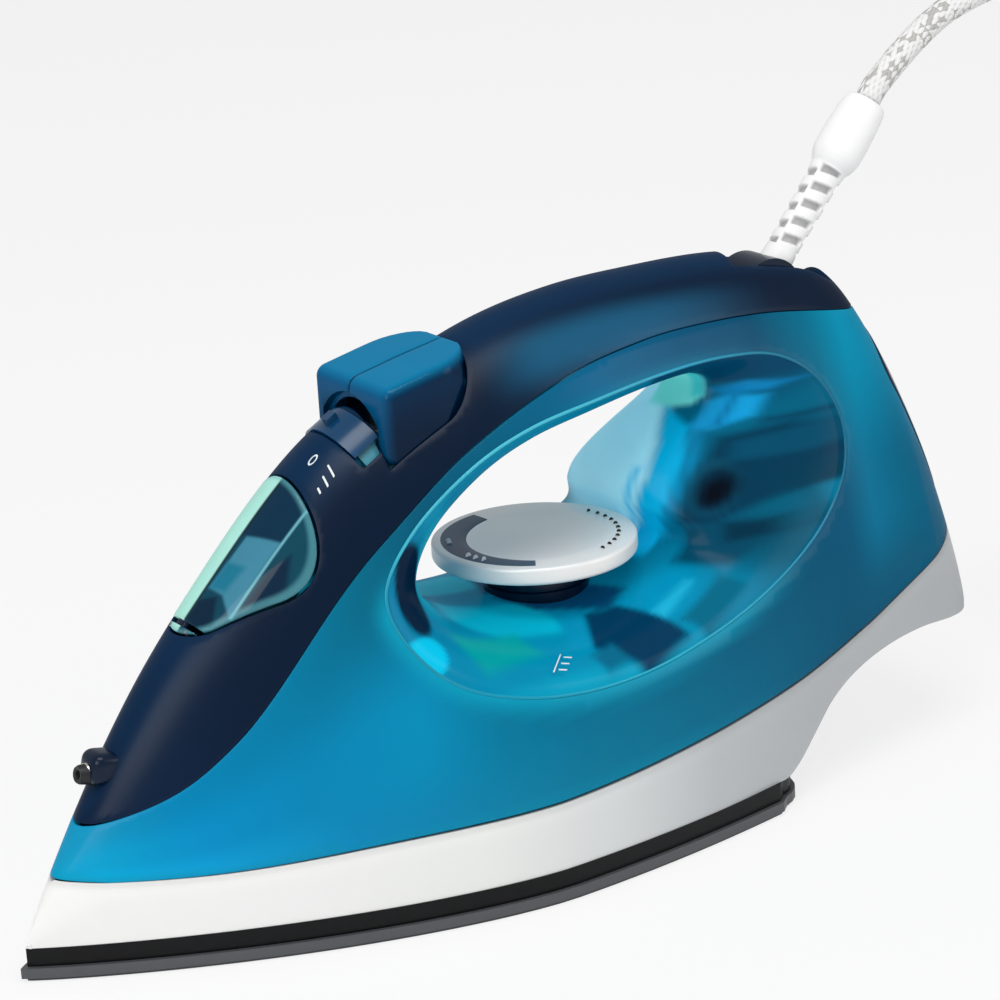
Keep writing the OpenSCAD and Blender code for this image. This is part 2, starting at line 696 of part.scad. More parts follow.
module steam_piston() { color([0.3, 0.3, 0.32]) piston(1); }
module spray_spring() { color([0.7, 0.7, 0.7]) pump_spring(-1); }
module steam_spring() { color([0.7, 0.7, 0.7]) pump_spring(1); }
// A straight pipe between two points
module pipe(a, b, r) {
    d = b - a;
    translate(a) rotate([0, acos(d.z / norm(d)), atan2(d.y, d.x)]) cylinder(h = norm(d), r = r);
}
module spray_tube() {
    low = [nozzle_at.x + nozzle_l + 0.6, -1.5, nozzle_at.y + 1.5];
    color([0.8, 0.85, 0.85]) place() pipe(low, [pump_x - 3, -pump_y, pump_base - 2.2], tube_r);
}
module steam_tube() {
    low = casting_top + 1.4;
    high = pump_base + 2.5;
    color([0.8, 0.85, 0.85]) place() {
        pipe([steam_tube_x, pump_y, low], [steam_tube_x, pump_y, high + tube_r], tube_r);
        pipe([steam_tube_x, pump_y, high], [pump_x - pump_d / 2 - 0.15, pump_y, high], tube_r);
    }
}

// ---- Steam control ----
module steam_control() {
    color([0.02, 0.3, 0.42]) place() union() {
        control_sector(control_r - control_wall, control_r, control_l / 2, control_half_angle);
        intersection() {
            control_sector(3, control_r - 1, control_l / 2, control_half_angle);
            on_slope(control_centre, control_angle) translate([-control_l / 2, -20, -5]) cube([1.2, 40, 30]);
        }
        on_slope(control_centre, control_angle) translate([-1.6, -1.5, control_r - 0.3]) cube([3.2, 3, 2]);
    }
}
module control_track() {
    color([0.0, 0.15, 0.28]) place() difference() {
        control_sector(track_in_r, control_r - control_wall - run_gap, control_l / 2, 84);
        on_slope(control_centre, control_angle) translate([-control_l, -20, -5]) cube([control_l / 2 + 1.5, 40, 30]);
    }
}
valve_top = control_centre.y - 2;
module valve_rod() {
    color([0.8, 0.8, 0.78]) place() translate([valve_x, 0, tank_z - 1])
        cylinder(h = valve_top - tank_z + 1, r = valve_rod_d / 2);
}
module valve_seat() {
    color([0.3, 0.3, 0.32]) place() translate([valve_x, 0, casting_top + 1.4]) difference() {
        cylinder(h = tank_z + floor_t + 2 - casting_top - 1.4, r = 4.4);
        translate([0, 0, tank_z - casting_top - 6]) cylinder(h = 40, r = valve_rod_d / 2 + run_gap);
        translate([0, 0, -1]) cylinder(h = 40, r = 1);
    }
}

// ---- Pilot lamp ----
lamp_at = [px(202), pz(117)];
lens_r = 4;
module pilot_lens() {
    color([0.5, 0.9, 0.7, 0.7]) place() translate([lamp_at.x, 0, lamp_at.y]) difference() {
        cylinder(h = 6, r = lens_r);
        translate([0, 0, 1.2]) cylinder(h = 6, r = lens_r - 1.1);
    }
}
module pilot_lamp() {
    color([0.95, 0.6, 0.3]) place() translate([lamp_at.x, 0, lamp_at.y + 1.5]) cylinder(h = 8, r = lens_r - 1.5);
}

// ---- Mains lead ----
module swivel_drum() {
    color([0.05, 0.06, 0.08]) place() translate([swivel.x, 0, swivel.y]) difference() {
        rotate([90, 0, 0]) cylinder(h = swivel_w, r = swivel_r, center = true);
        rotate([90, 0, 0]) cylinder(h = swivel_w + 2, r = 2 + run_gap, center = true);
        rotate([0, 90 - relief_angle, 0]) translate([0, 0, swivel_r - 4]) cylinder(h = 10, r = 4.4);
    }
}
module swivel_bracket() {
    color([0.2, 0.2, 0.22]) place() {
        translate([swivel.x, 0, swivel.y]) rotate([90, 0, 0]) cylinder(h = swivel_w + 5, r = 2, center = true);
        for (s = [-1, 1]) translate([swivel.x - 5, s * (swivel_w / 2 + 1.4) - 1.1, swivel.y - 14]) cube([10, 2.2, 17]);
        translate([swivel.x - 5, -swivel_w / 2 - 2.5, swivel.y - 16]) cube([10, swivel_w + 5, 2.2]);
    }
}
module strain_relief() {
    color([0.93, 0.93, 0.92]) place() translate([swivel.x, 0, swivel.y]) rotate([0, 90 - relief_angle, 0])
        rotate_extrude() polygon([
            [0, swivel_r - 4], [4.4, swivel_r - 4], [4.4, swivel_r + 0.3], [5.4, swivel_r + 0.4],
            [4.6, relief_reach - 22], [5.2, relief_reach - 13], [bulb_r, relief_reach - 7],
            [bulb_r, relief_reach - 3.5], [bulb_r - 1.6, relief_end], [0, relief_end]
        ]);
}
module terminal_block() {
    color([0.9, 0.9, 0.86]) place() translate([px(252), -9, pz(84)]) cube([14, 18, 20]);
}
module lead_wires() {
    y = 5;
    color([0.6, 0.35, 0.1]) place() for (s = [-1, 0, 1])
        pipe([px(252) + 7, s * y, pz(84) + 20.6], [swivel.x + 6, s * y, swivel.y - swivel_r - 1.5], 1.2);
}

// ---- Screws ----
module screw(h, r) {
    cylinder(h = h, r = r);
    translate([0, 0, h]) cylinder(h = 1.6, r = 1.8 * r);
}
module sole_screws() {
    color([0.6, 0.6, 0.62]) place() for (x = sole_screw_xs)
        translate([x, 0, casting_top]) screw(shield_z + shield_t - casting_top, 2);
}
module housing_screws() {
    color([0.6, 0.6, 0.62]) place() at_housing_screws() translate([0, 0, 7.6]) mirror([0, 0, 1]) screw(8, 1.7);
}
module rear_screw() {
    color([0.6, 0.6, 0.62]) place() translate([rear_screw_x - 6, 0, rear_screw_z]) rotate([0, 90, 0]) screw(6, 1.8);
}

// ---- Free lead: a route of hand-chosen points, a round coil and the plug ----
route_start = [swivel.x + relief_reach * cos(relief_angle), swivel.y + relief_reach * sin(relief_angle)];
coil_at = [412, 0];
coil_in_r = 29.5;
coil_out_r = 52.5;
coil_h = 15;
// [x, y, z] from the nose, after the first two, which leave the strain relief straight
route_points = [
    [299.5, 0, 194], [311, 0, 200.6], [322, 0, 204.2], [333.6, 0, 206.2], [345.2, 0, 204.2],
    [355.5, -0.3, 198.2], [364, -1, 190.5], [371.5, -3, 179.5], [377.5, -7, 165.5], [381.5, -14, 148.5],
    [384.5, -22, 130], [387, -31, 112], [389.5, -40, 94], [391, -47.5, 77], [391.3, -52.8, 60],
    [391, -55, 44.3], [389.5, -53, 31.6], [385.4, -47.1, 20.9], [379.2, -38.3, 13.8],
    [372, -28, 11.3], [367.8, -20.6, 11.3]
];
route = concat(
    [
        [route_start.x, 0, route_start.y],
        [route_start.x + 6 * cos(relief_angle), 0, route_start.y + 6 * sin(relief_angle)]
    ],
    route_points
);
tail_route = [
    [422, -50.5, 3.8], [416, -54, 4.6], [410, -57.5, 8.5], [404, -61, 13.5], [400, -63.3, 16.5], [397, -65, 17.5]
];
// A smooth point of an open run of points, at t from 0 to len(p) - 1
function run_at(p, i) = i < 0 ? 2 * p[0] - p[1] : i >= len(p) ? 2 * p[len(p) - 1] - p[len(p) - 2] : p[i];
function run_point(p, t) =
    let (i = min(floor(t), len(p) - 2), u = t - i, a = run_at(p, i - 1), b = p[i], c = p[i + 1], d = run_at(p, i + 2))
    0.5 * (2 * b + (c - a) * u + (2 * a - 5 * b + 4 * c - d) * u ^ 2 + (3 * b - a - 3 * c + d) * u ^ 3);
cord_sides = 8;
// A round tube along p
module swept(p, r, steps) {
    last = len(p) - 1;
    rings = [
        for (k = [0:steps])
            let (
                t = last * k / steps,
                at = run_point(p, t),
                ahead = run_point(p, min(t + 0.05, last)) - run_point(p, max(t - 0.05, 0)),
                d = ahead / norm(ahead),
                side = cross(d, [0, 1, 0]) / norm(cross(d, [0, 1, 0])),
                up = cross(side, d)
            )
            for (a = [0:cord_sides - 1])
                at + r * (cos(360 * a / cord_sides) * side + sin(360 * a / cord_sides) * up)
    ];
    polyhedron(rings, tube_faces(steps + 1, cord_sides), convexity = 4);
}
module cord_tube() {
    color([0.93, 0.93, 0.93]) place() swept(route, cord_d / 2, 36);
}
module cord_coil() {
    color([0.93, 0.93, 0.93]) place() translate([coil_at.x, coil_at.y, 0]) rotate_extrude()
        translate([coil_in_r, 0]) square([coil_out_r - coil_in_r, coil_h]);
}
module cord_tail() {
    color([0.93, 0.93, 0.93]) place() swept(tail_route, cord_d / 2, 8);
}
plug_r = 17.5;
plug_at = [378, -76]; // the plug's shoulder, where its neck begins
plug_turn = 210;
plug_l = 26;
neck_l = 22;
pin_l = 19;
module at_plug() { translate([plug_at.x, plug_at.y, plug_r]) rotate([0, 0, plug_turn]) rotate([0, 90, 0]) children(); }
module plug_body() {
    color([0.93, 0.93, 0.93]) place() at_plug() difference() {
        union() {
            cylinder(h = plug_l, r = plug_r);
            translate([0, 0, -neck_l]) cylinder(h = neck_l + 1, r = 5.5);
        }
        translate([0, 0, plug_l - 3]) cylinder(h = 4, r = plug_r - 3.5);
    }
}
module plug_pins() {
    color([0.8, 0.8, 0.78]) place() at_plug() for (s = [-1, 1])
        translate([0, s * 9.5, plug_l - 3]) cylinder(h = pin_l, r = 2.4);
}

soleplate();
sole_casting();
chamber_cover();
heating_element();
element_terminals();
thermostat();
thermal_fuse();
heat_band();
heat_shield();
skirt();
body_shell();
top_cover();
rear_cover();
tank_floor();
shaft_seal();
dial();
dial_shaft();
dial_collar();
fill_door();
fill_door_pin();
fill_funnel();
spray_nozzle();
nozzle_tip();
spray_button();
steam_button();
spray_pump();
steam_pump();
spray_piston();
steam_piston();
spray_spring();
steam_spring();
spray_tube();
steam_tube();
steam_control();
control_track();
valve_rod();
valve_seat();
pilot_lens();
pilot_lamp();
swivel_drum();
swivel_bracket();
strain_relief();
terminal_block();
lead_wires();
sole_screws();
housing_screws();
rear_screw();
cord_tube();
cord_coil();
cord_tail();
plug_body();
plug_pins();
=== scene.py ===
import json
import math
from functools import partial

import bmesh
import bpy
import numpy as np
from mathutils import Matrix, Vector
from mathutils.geometry import delaunay_2d_cdt


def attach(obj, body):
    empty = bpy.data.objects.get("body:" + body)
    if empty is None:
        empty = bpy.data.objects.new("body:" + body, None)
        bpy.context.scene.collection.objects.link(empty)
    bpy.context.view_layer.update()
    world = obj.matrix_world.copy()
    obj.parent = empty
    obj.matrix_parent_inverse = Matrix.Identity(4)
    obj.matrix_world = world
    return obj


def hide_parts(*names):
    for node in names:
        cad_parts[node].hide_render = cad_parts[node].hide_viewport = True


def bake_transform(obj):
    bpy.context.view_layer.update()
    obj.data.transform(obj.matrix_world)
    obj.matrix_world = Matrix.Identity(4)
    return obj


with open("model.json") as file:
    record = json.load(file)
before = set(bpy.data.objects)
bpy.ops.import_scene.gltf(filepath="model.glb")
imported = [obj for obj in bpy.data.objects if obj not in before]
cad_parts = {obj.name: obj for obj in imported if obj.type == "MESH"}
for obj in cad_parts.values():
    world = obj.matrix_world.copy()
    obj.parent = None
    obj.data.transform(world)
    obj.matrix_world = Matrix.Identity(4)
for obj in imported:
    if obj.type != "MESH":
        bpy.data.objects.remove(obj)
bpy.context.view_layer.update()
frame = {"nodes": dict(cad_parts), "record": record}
nodes = frame["nodes"]
print("frame loaded,", len(nodes), "nodes")

noseToMiddle = 150.0  # drawings run from the nose in millimetres, the frame from the middle in metres


def inFrame(points):
    return (np.asarray(points, float) - [noseToMiddle, 0, 0]) / 1000


def meshPiece(name, points, faces):
    mesh = bpy.data.meshes.new(name)
    mesh.from_pydata(inFrame(points).tolist(), [], [tuple(int(i) for i in f) for f in faces])
    mesh.update()
    mesh.polygons.foreach_set("use_smooth", [True] * len(mesh.polygons))
    piece = bpy.data.objects.new(name, mesh)
    bpy.context.scene.collection.objects.link(piece)
    return piece


def gridFaces(rows, columns, start=0, closeRows=False, closeColumns=False, flip=False):
    faces = []
    for i in range(rows if closeRows else rows - 1):
        for j in range(columns if closeColumns else columns - 1):
            a, b = start + i * columns, start + ((i + 1) % rows) * columns
            k = (j + 1) % columns
            quad = (a + j, a + k, b + k, b + j)
            faces.append(quad[::-1] if flip else quad)
    return faces


def sharpen(piece, degrees=35):
    piece.data.set_sharp_from_angle(angle=math.radians(degrees))
    return piece


def smoothRun(points, steps, closed=False):
    # a smooth run through the points, in so many steps from each to the next
    p = np.asarray(points, float)
    ends = np.vstack([p[-1:], p, p[:2]] if closed else [2 * p[0] - p[1], p, 2 * p[-1] - p[-2]])
    out = []
    for i in range(len(ends) - 3):
        a, b, c, d = ends[i:i + 4]
        for u in np.arange(steps) / steps:
            out.append(0.5 * (2 * b + (c - a) * u + (2 * a - 5 * b + 4 * c - d) * u * u
                              + (3 * b - a - 3 * c + d) * u ** 3))
    return np.array(out if closed else out + [p[-1]])


def evenly(points, gap):
    p = np.asarray(points, float)
    run = np.r_[0, np.cumsum(np.linalg.norm(np.diff(p, axis=0), axis=1))]
    at = np.linspace(0, run[-1], max(int(round(run[-1] / gap)), 2) + 1)
    return np.stack([np.interp(at, run, p[:, k]) for k in range(p.shape[1])], 1)


def tubePiece(name, path, radius, sides=20):
    # a round tube along a run of points, with its own map: across the tube and along its length
    p = np.asarray(path, float)
    ahead = np.gradient(p, axis=0)
    ahead /= np.linalg.norm(ahead, axis=1)[:, None]
    side = np.cross(ahead[0], [0, 1, 0])
    side /= np.linalg.norm(side)
    run = np.r_[0, np.cumsum(np.linalg.norm(np.diff(p, axis=0), axis=1))]
    radii = np.broadcast_to(radius, (len(p),))
    rings = []
    for i in range(len(p)):
        side = side - ahead[i] * np.dot(side, ahead[i])
        side /= np.linalg.norm(side)
        up = np.cross(ahead[i], side)
        turn = 2 * math.pi * np.arange(sides + 1) / sides
        rings.append(p[i] + radii[i] * (np.cos(turn)[:, None] * side + np.sin(turn)[:, None] * up))
    n = sides + 1
    points = np.vstack(rings + [p[:1], p[-1:]])
    faces = gridFaces(len(p), n)
    first, last = len(p) * n, len(p) * n + 1
    faces += [(first, j + 1, j) for j in range(sides)]
    faces += [(last, (len(p) - 1) * n + j, (len(p) - 1) * n + j + 1) for j in range(sides)]
    piece = meshPiece(name, points, faces)
    layer = piece.data.uv_layers.new(name="alongTube")
    across = np.r_[np.tile(np.arange(n) / sides, len(p)), 0.5, 0.5]
    along = np.r_[np.repeat(run / 1000, n), run[0], run[-1] / 1000]
    index = np.empty(len(piece.data.loops), int)
    piece.data.loops.foreach_get("vertex_index", index)
    layer.data.foreach_set("uv", np.stack([across[index], along[index]], 1).ravel())
    return piece


def addNode(tree, kind, values=None, **settings):
    # a node with its settings; each input is given a value, or linked where it is given a socket
    node = tree.nodes.new(kind)
    for key, value in settings.items():
        setattr(node, key, value)
    for key, value in (values or {}).items():
        if isinstance(value, bpy.types.NodeSocket):
            tree.links.new(value, node.inputs[key])
        else:
            node.inputs[key].default_value = value
    return node


def emptyTree(owner):
    owner.use_nodes = True
    owner.node_tree.nodes.clear()
    return owner.node_tree


# ---- camera, light and floor ----
cameraSet = {"place": (-0.4545, -0.6920, 0.3692), "turn": 33.45, "down": 18.43, "roll": -3.29, "lens": 117.53,
             "sensor": 36}


def makeCamera(s):
    turn, down, roll = (math.radians(s[k]) for k in ("turn", "down", "roll"))
    ahead = Vector((math.sin(turn) * math.cos(down), math.cos(turn) * math.cos(down), -math.sin(down)))
    right = Vector((math.cos(turn), -math.sin(turn), 0))
    up = right.cross(ahead)
    rolledRight = right * math.cos(roll) + up * math.sin(roll)
    rolledUp = up * math.cos(roll) - right * math.sin(roll)
    camera = bpy.data.objects.new("camera", bpy.data.cameras.new("camera"))
    camera.data.lens, camera.data.sensor_width = s["lens"], s["sensor"]
    facing = Matrix((rolledRight, rolledUp, -ahead)).transposed().to_4x4()
    camera.matrix_world = Matrix.Translation(s["place"]) @ facing
    bpy.context.scene.collection.objects.link(camera)
    bpy.context.scene.camera = camera


makeCamera(cameraSet)

studio = {
    "floorColour": (0.93, 0.93, 0.935, 1), "floorReach": 3.0, "floorGlow": 0.8, "air": 0.62, "backdrop": 0.97,
    "lamps": [  # name, place, aim, size, watts
        ("overhead", (-0.15, -0.35, 1.25), (0.0, 0.0, 0.08), (0.9, 0.5), 6.5),
        ("leftKey", (-1.15, -0.55, 0.75), (0.0, 0.0, 0.06), (0.7, 0.7), 5.5),
        ("rightFill", (0.9, -0.95, 0.55), (0.05, 0.0, 0.06), (0.35, 0.9), 2.4),
    ],
}


def makeStudio(s):
    # three lamps, and air that lights the object evenly but shows the camera a plain backdrop
    for name, place, aim, size, watts in s["lamps"]:
        lamp = bpy.data.lights.new(name, "AREA")
        lamp.shape, lamp.size, lamp.size_y, lamp.energy = "RECTANGLE", size[0], size[1], watts
        holder = bpy.data.objects.new(name, lamp)
        facing = (Vector(aim) - Vector(place)).to_track_quat("-Z", "Y").to_matrix().to_4x4()
        holder.matrix_world = Matrix.Translation(place) @ facing
        bpy.context.scene.collection.objects.link(holder)
    world = bpy.data.worlds.new("studioAir")
    bpy.context.scene.world = world
    tree = emptyTree(world)
    seenDirectly = addNode(tree, "ShaderNodeLightPath").outputs["Is Camera Ray"]
    level = addNode(tree, "ShaderNodeMix", {0: seenDirectly, 2: s["air"], 3: s["backdrop"]})
    shade = addNode(tree, "ShaderNodeBackground", {"Strength": level.outputs[0]})
    addNode(tree, "ShaderNodeOutputWorld", {0: shade.outputs[0]})
    bpy.context.scene.view_settings.view_transform = "Standard"


def makeFloor(s):
    # matt paper, mostly lit by itself as the camera sees it, so that shadows on it stay soft
    r = s["floorReach"]
    mesh = bpy.data.meshes.new("floor")
    mesh.from_pydata([(-r, -r, 0), (r, -r, 0), (r, r, 0), (-r, r, 0)], [], [(0, 1, 2, 3)])
    floor = bpy.data.objects.new("floor", mesh)
    bpy.context.scene.collection.objects.link(floor)
    paper = bpy.data.materials.new("floorPaper")
    tree = emptyTree(paper)
    seenDirectly = addNode(tree, "ShaderNodeLightPath").outputs["Is Camera Ray"]
    share = addNode(tree, "ShaderNodeMath", {0: seenDirectly, 1: s["floorGlow"]}, operation="MULTIPLY")
    matt = addNode(tree, "ShaderNodeBsdfDiffuse", {"Color": s["floorColour"]})
    glow = addNode(tree, "ShaderNodeEmission", {"Strength": s["backdrop"]})
    blend = addNode(tree, "ShaderNodeMixShader", {0: share.outputs[0], 1: matt.outputs[0],
                                                  2: glow.outputs[0]})
    addNode(tree, "ShaderNodeOutputMaterial", {0: blend.outputs[0]})
    mesh.materials.append(paper)


makeStudio(studio)
makeFloor(studio)
print("studio ready")

# ---- mains lead ----
lead = {
    "diameter": 7.5, "swivel": (242, 132.6), "reliefAngle": 49, "reliefReach": 63,
    "route": [  # from the strain relief down to the coil, from the nose, in millimetres
        (299.5, 0, 194), (311, 0, 200.6), (322, 0, 204.2), (333.6, 0, 206.2), (345.2, 0, 204.2),
        (355.5, -0.3, 198.2), (364, -1, 190.5), (371.5, -3, 179.5), (377.5, -7, 165.5), (381.5, -14, 148.5),
        (384.5, -22, 130), (387, -31, 112), (389.5, -40, 94), (391, -47.5, 77), (391.3, -52.8, 60),
        (391, -55, 44.3), (389.5, -53, 31.6), (385.4, -47.1, 20.9), (379.2, -38.3, 13.8),
    ],
    "coilAt": (412, 0), "rings": (48.75, 41.0, 33.25), "layers": (11.25, 3.75),
    "firstAngle": 215, "turns": 4.764, "pointsPerTurn": 18,
    "tail": [(422, -50.5, 3.8), (416, -54, 4.6), (410, -57.5, 8.5), (404, -61, 13.5), (400, -63.3, 16.5),
             (397, -65, 17.5)],
}


def easeStep(x, start, end):
    t = np.clip((x - start) / (end - start), 0, 1)
    return t * t * (3 - 2 * t)


def leadPath(s):
    angle = math.radians(s["reliefAngle"])
    reach = [s["reliefReach"], s["reliefReach"] + 6]
    out = [(s["swivel"][0] + r * math.cos(angle), 0, s["swivel"][1] + r * math.sin(angle)) for r in reach]
    out += s["route"]
    outer, middle, inner = s["rings"]
    turn = np.linspace(0, s["turns"], int(s["turns"] * s["pointsPerTurn"]) + 1)
    # the turns step inwards ring by ring, drop a layer, and step out again
    radius = (outer + (middle - outer) * easeStep(turn, 0.8, 1.0)
              + (inner - middle) * easeStep(turn, 1.8, 2.0)
              + (middle - inner) * easeStep(turn, 3.08, 3.28)
              + (outer - middle) * easeStep(turn, 4.08, 4.28))
    height = s["layers"][0] + (s["layers"][1] - s["layers"][0]) * easeStep(turn, 2.25, 2.55)
    bearing = np.radians(s["firstAngle"]) - 2 * math.pi * turn
    x, y = s["coilAt"]
    coil = np.stack([x + radius * np.cos(bearing), y + radius * np.sin(bearing), height], 1)
    return np.vstack([out, coil, s["tail"]])


leadPoints = leadPath(lead)
leadCurve = smoothRun(leadPoints, 6)
leadPiece = tubePiece("mainsLead", evenly(leadCurve, 1.6), lead["diameter"] / 2)

# ---- the housing's outlines, as [distance from the nose, height] ----
housing = {
    "topLine": [(2, 10), (11, 25.5), (19, 38), (31, 56), (45, 74), (62, 92), (83, 112), (100, 124.5),
                (125, 136),
                (150, 144.3), (175, 148), (200, 148.4), (225, 147.4), (245, 144), (258, 139.5), (268, 131),
                (280, 110),
                (292, 82), (298.4, 59), (300, 46)],
    "underLine": [(0, 8.8), (212, 8.8), (218, 12), (224, 18), (232, 26), (242, 31.5), (255, 35), (270, 36),
                  (285, 34.5),
                  (296, 34.5), (300, 40)],
    "skirtSeam": [(0, 26), (45, 24.4), (90, 26.2), (145, 27.6), (197, 32.2), (222, 35.8), (247, 43),
                  (264, 49.5),
                  (282, 56), (300, 61)],
    "coverSeam": [(0, 36.5), (19, 38.3), (31, 41.5), (41, 45.7), (50, 51.5), (62, 61.6), (86, 87), (100, 99),
                  (128, 117),
                  (162, 129.5), (188, 133.5), (210, 133.7), (235, 131.7), (268, 125.5), (300, 119)],
    "heelWidth": [(180, 49.4), (200, 46.4), (221, 43), (240, 40), (260, 37), (278, 33.6), (290, 29.5),
                  (297, 22), (300, 10)],
    "openingInner": [(118, 84), (124, 96), (137, 106), (152, 112), (170, 115.5), (188, 118), (203, 118.5),
                     (211, 116),
                     (208, 110), (199, 101), (192, 92), (191, 85), (194, 76), (180, 69), (163, 66.5),
                     (145, 67), (130, 70),
                     (121, 76)],
    "openingRim": [(98, 87), (109, 101), (128, 113), (147, 119.5), (168, 122.5), (190, 124.5), (212, 124.5),
                   (231, 121.5),
                   (244, 113), (250, 100), (247, 86), (234, 73), (212, 62.5), (185, 56), (160, 53),
                   (135, 54.5), (113, 61),
                   (101, 73)],
    "soleLength": 221, "soleWidth": 107, "noseAt": 2.12, "grid": 1.7, "seamGap": 0.16, "edgeRound": 0.26,
}


def curve(line, x):
    p = np.array(housing[line] if isinstance(line, str) else line, float)
    px, py, n = p[:, 0], p[:, 1], len(p)
    a, b = np.maximum(np.arange(n) - 1, 0), np.minimum(np.arange(n) + 1, n - 1)
    slope = (py[b] - py[a]) / (px[b] - px[a])
    q = np.clip(x, px[0], px[-1])
    i = np.clip(np.searchsorted(px, q, side="right") - 1, 0, n - 2)
    h = px[i + 1] - px[i]
    t = (q - px[i]) / h
    return ((2 * t ** 3 - 3 * t ** 2 + 1) * py[i] + (t ** 3 - 2 * t ** 2 + t) * h * slope[i]
            + (3 * t ** 2 - 2 * t ** 3) * py[i + 1] + (t ** 3 - t ** 2) * h * slope[i + 1])


def soleHalf(x):
    wide = 0.61 * housing["soleLength"]
    half = housing["soleWidth"] / 2
    front = half * np.maximum(1 - np.abs(1 - x / wide) ** 1.54, 0) ** 0.926
    rear = half * (1 - 0.16 * ((x - wide) / (housing["soleLength"] - wide)) ** 2)
    return np.where(x < wide, front, rear)


def baseHalf(x):
    x = np.asarray(x, float)
    front = np.maximum(soleHalf(x) - 1.6, 0.02)
    return front + (curve("heelWidth", x) - front) * easeStep(x, 182, 216)


def shoulder(x):
    roof = curve("topLine", x)
    return np.minimum(curve("skirtSeam", x) - 4, 8.8 + 0.4 * (roof - 8.8)), roof


def onSkin(x, v):
    # v runs round the section: 0 on the crest, 1 where the side turns upright, below 0 on the near side
    x, v = np.asarray(x, float), np.asarray(v, float)
    low, roof = shoulder(x)
    w = np.abs(v)
    t = 1 - np.minimum(w, 1) ** 2
    z = np.where(w <= 1, low + (roof - low) * t, low - (w - 1) * 2 * (roof - low))
    share = np.sqrt(np.maximum(1 - t ** 10, 0)) * (1 - 0.66 * t ** 1.3)
    return np.stack([x, np.sign(v) * baseHalf(x) * share, z], -1)


def levelOf(x, z):
    low, roof = shoulder(x)
    t = (z - low) / (roof - low)
    return np.where(t >= 0, np.sqrt(np.clip(1 - t, 0, None)), 1 + (low - z) / (2 * (roof - low)))


def levelAcross(x, y):
    # the level whose half width is y, found on a fine ladder
    x, y = np.broadcast_arrays(np.asarray(x, float), np.asarray(y, float))
    ladder = np.linspace(0, 1, 400)
    out = np.empty(x.shape)
    for i in np.ndindex(x.shape):
        out[i] = np.interp(abs(y[i]), onSkin(np.full(400, x[i]), ladder)[:, 1], ladder) * np.sign(y[i])
    return out


def skinNormal(x, v):
    e = 0.02
    down = onSkin(x, np.asarray(v) + e) - onSkin(x, np.asarray(v) - e)
    on = onSkin(np.asarray(x) + 0.4, v) - onSkin(np.asarray(x) - 0.4, v)
    n = np.cross(on, down)
    length = np.linalg.norm(n, axis=-1, keepdims=True)
    return n / np.maximum(length, 1e-9)


girth = 88.0  # one unit of level is about this many millimetres round the section


def insideLoop(points, loop):
    x, y = points[:, 0], points[:, 1]
    inside = np.zeros(len(points), bool)
    for (ax, ay), (bx, by) in zip(loop, np.roll(loop, -1, axis=0)):
        if ay == by:
            continue
        crosses = (ay > y) != (by > y)
        inside ^= crosses & (x < (bx - ax) * (y - ay) / (by - ay) + ax)
    return inside


def closedEvenly(loop, gap):
    loop = np.asarray(loop, float)
    return evenly(np.vstack([loop, loop[:1]]), gap)[:-1]


def insetLoop(loop, amount):
    # moves a closed loop towards its inside, whichever way it runs
    ahead = np.roll(loop, -1, axis=0) - np.roll(loop, 1, axis=0)
    ahead /= np.maximum(np.linalg.norm(ahead, axis=1)[:, None], 1e-9)
    area = np.sum(loop[:, 0] * np.roll(loop[:, 1], -1) - np.roll(loop[:, 0], -1) * loop[:, 1])
    inward = np.stack([-ahead[:, 1], ahead[:, 0]], 1) * (1 if area > 0 else -1)
    return loop + inward * amount


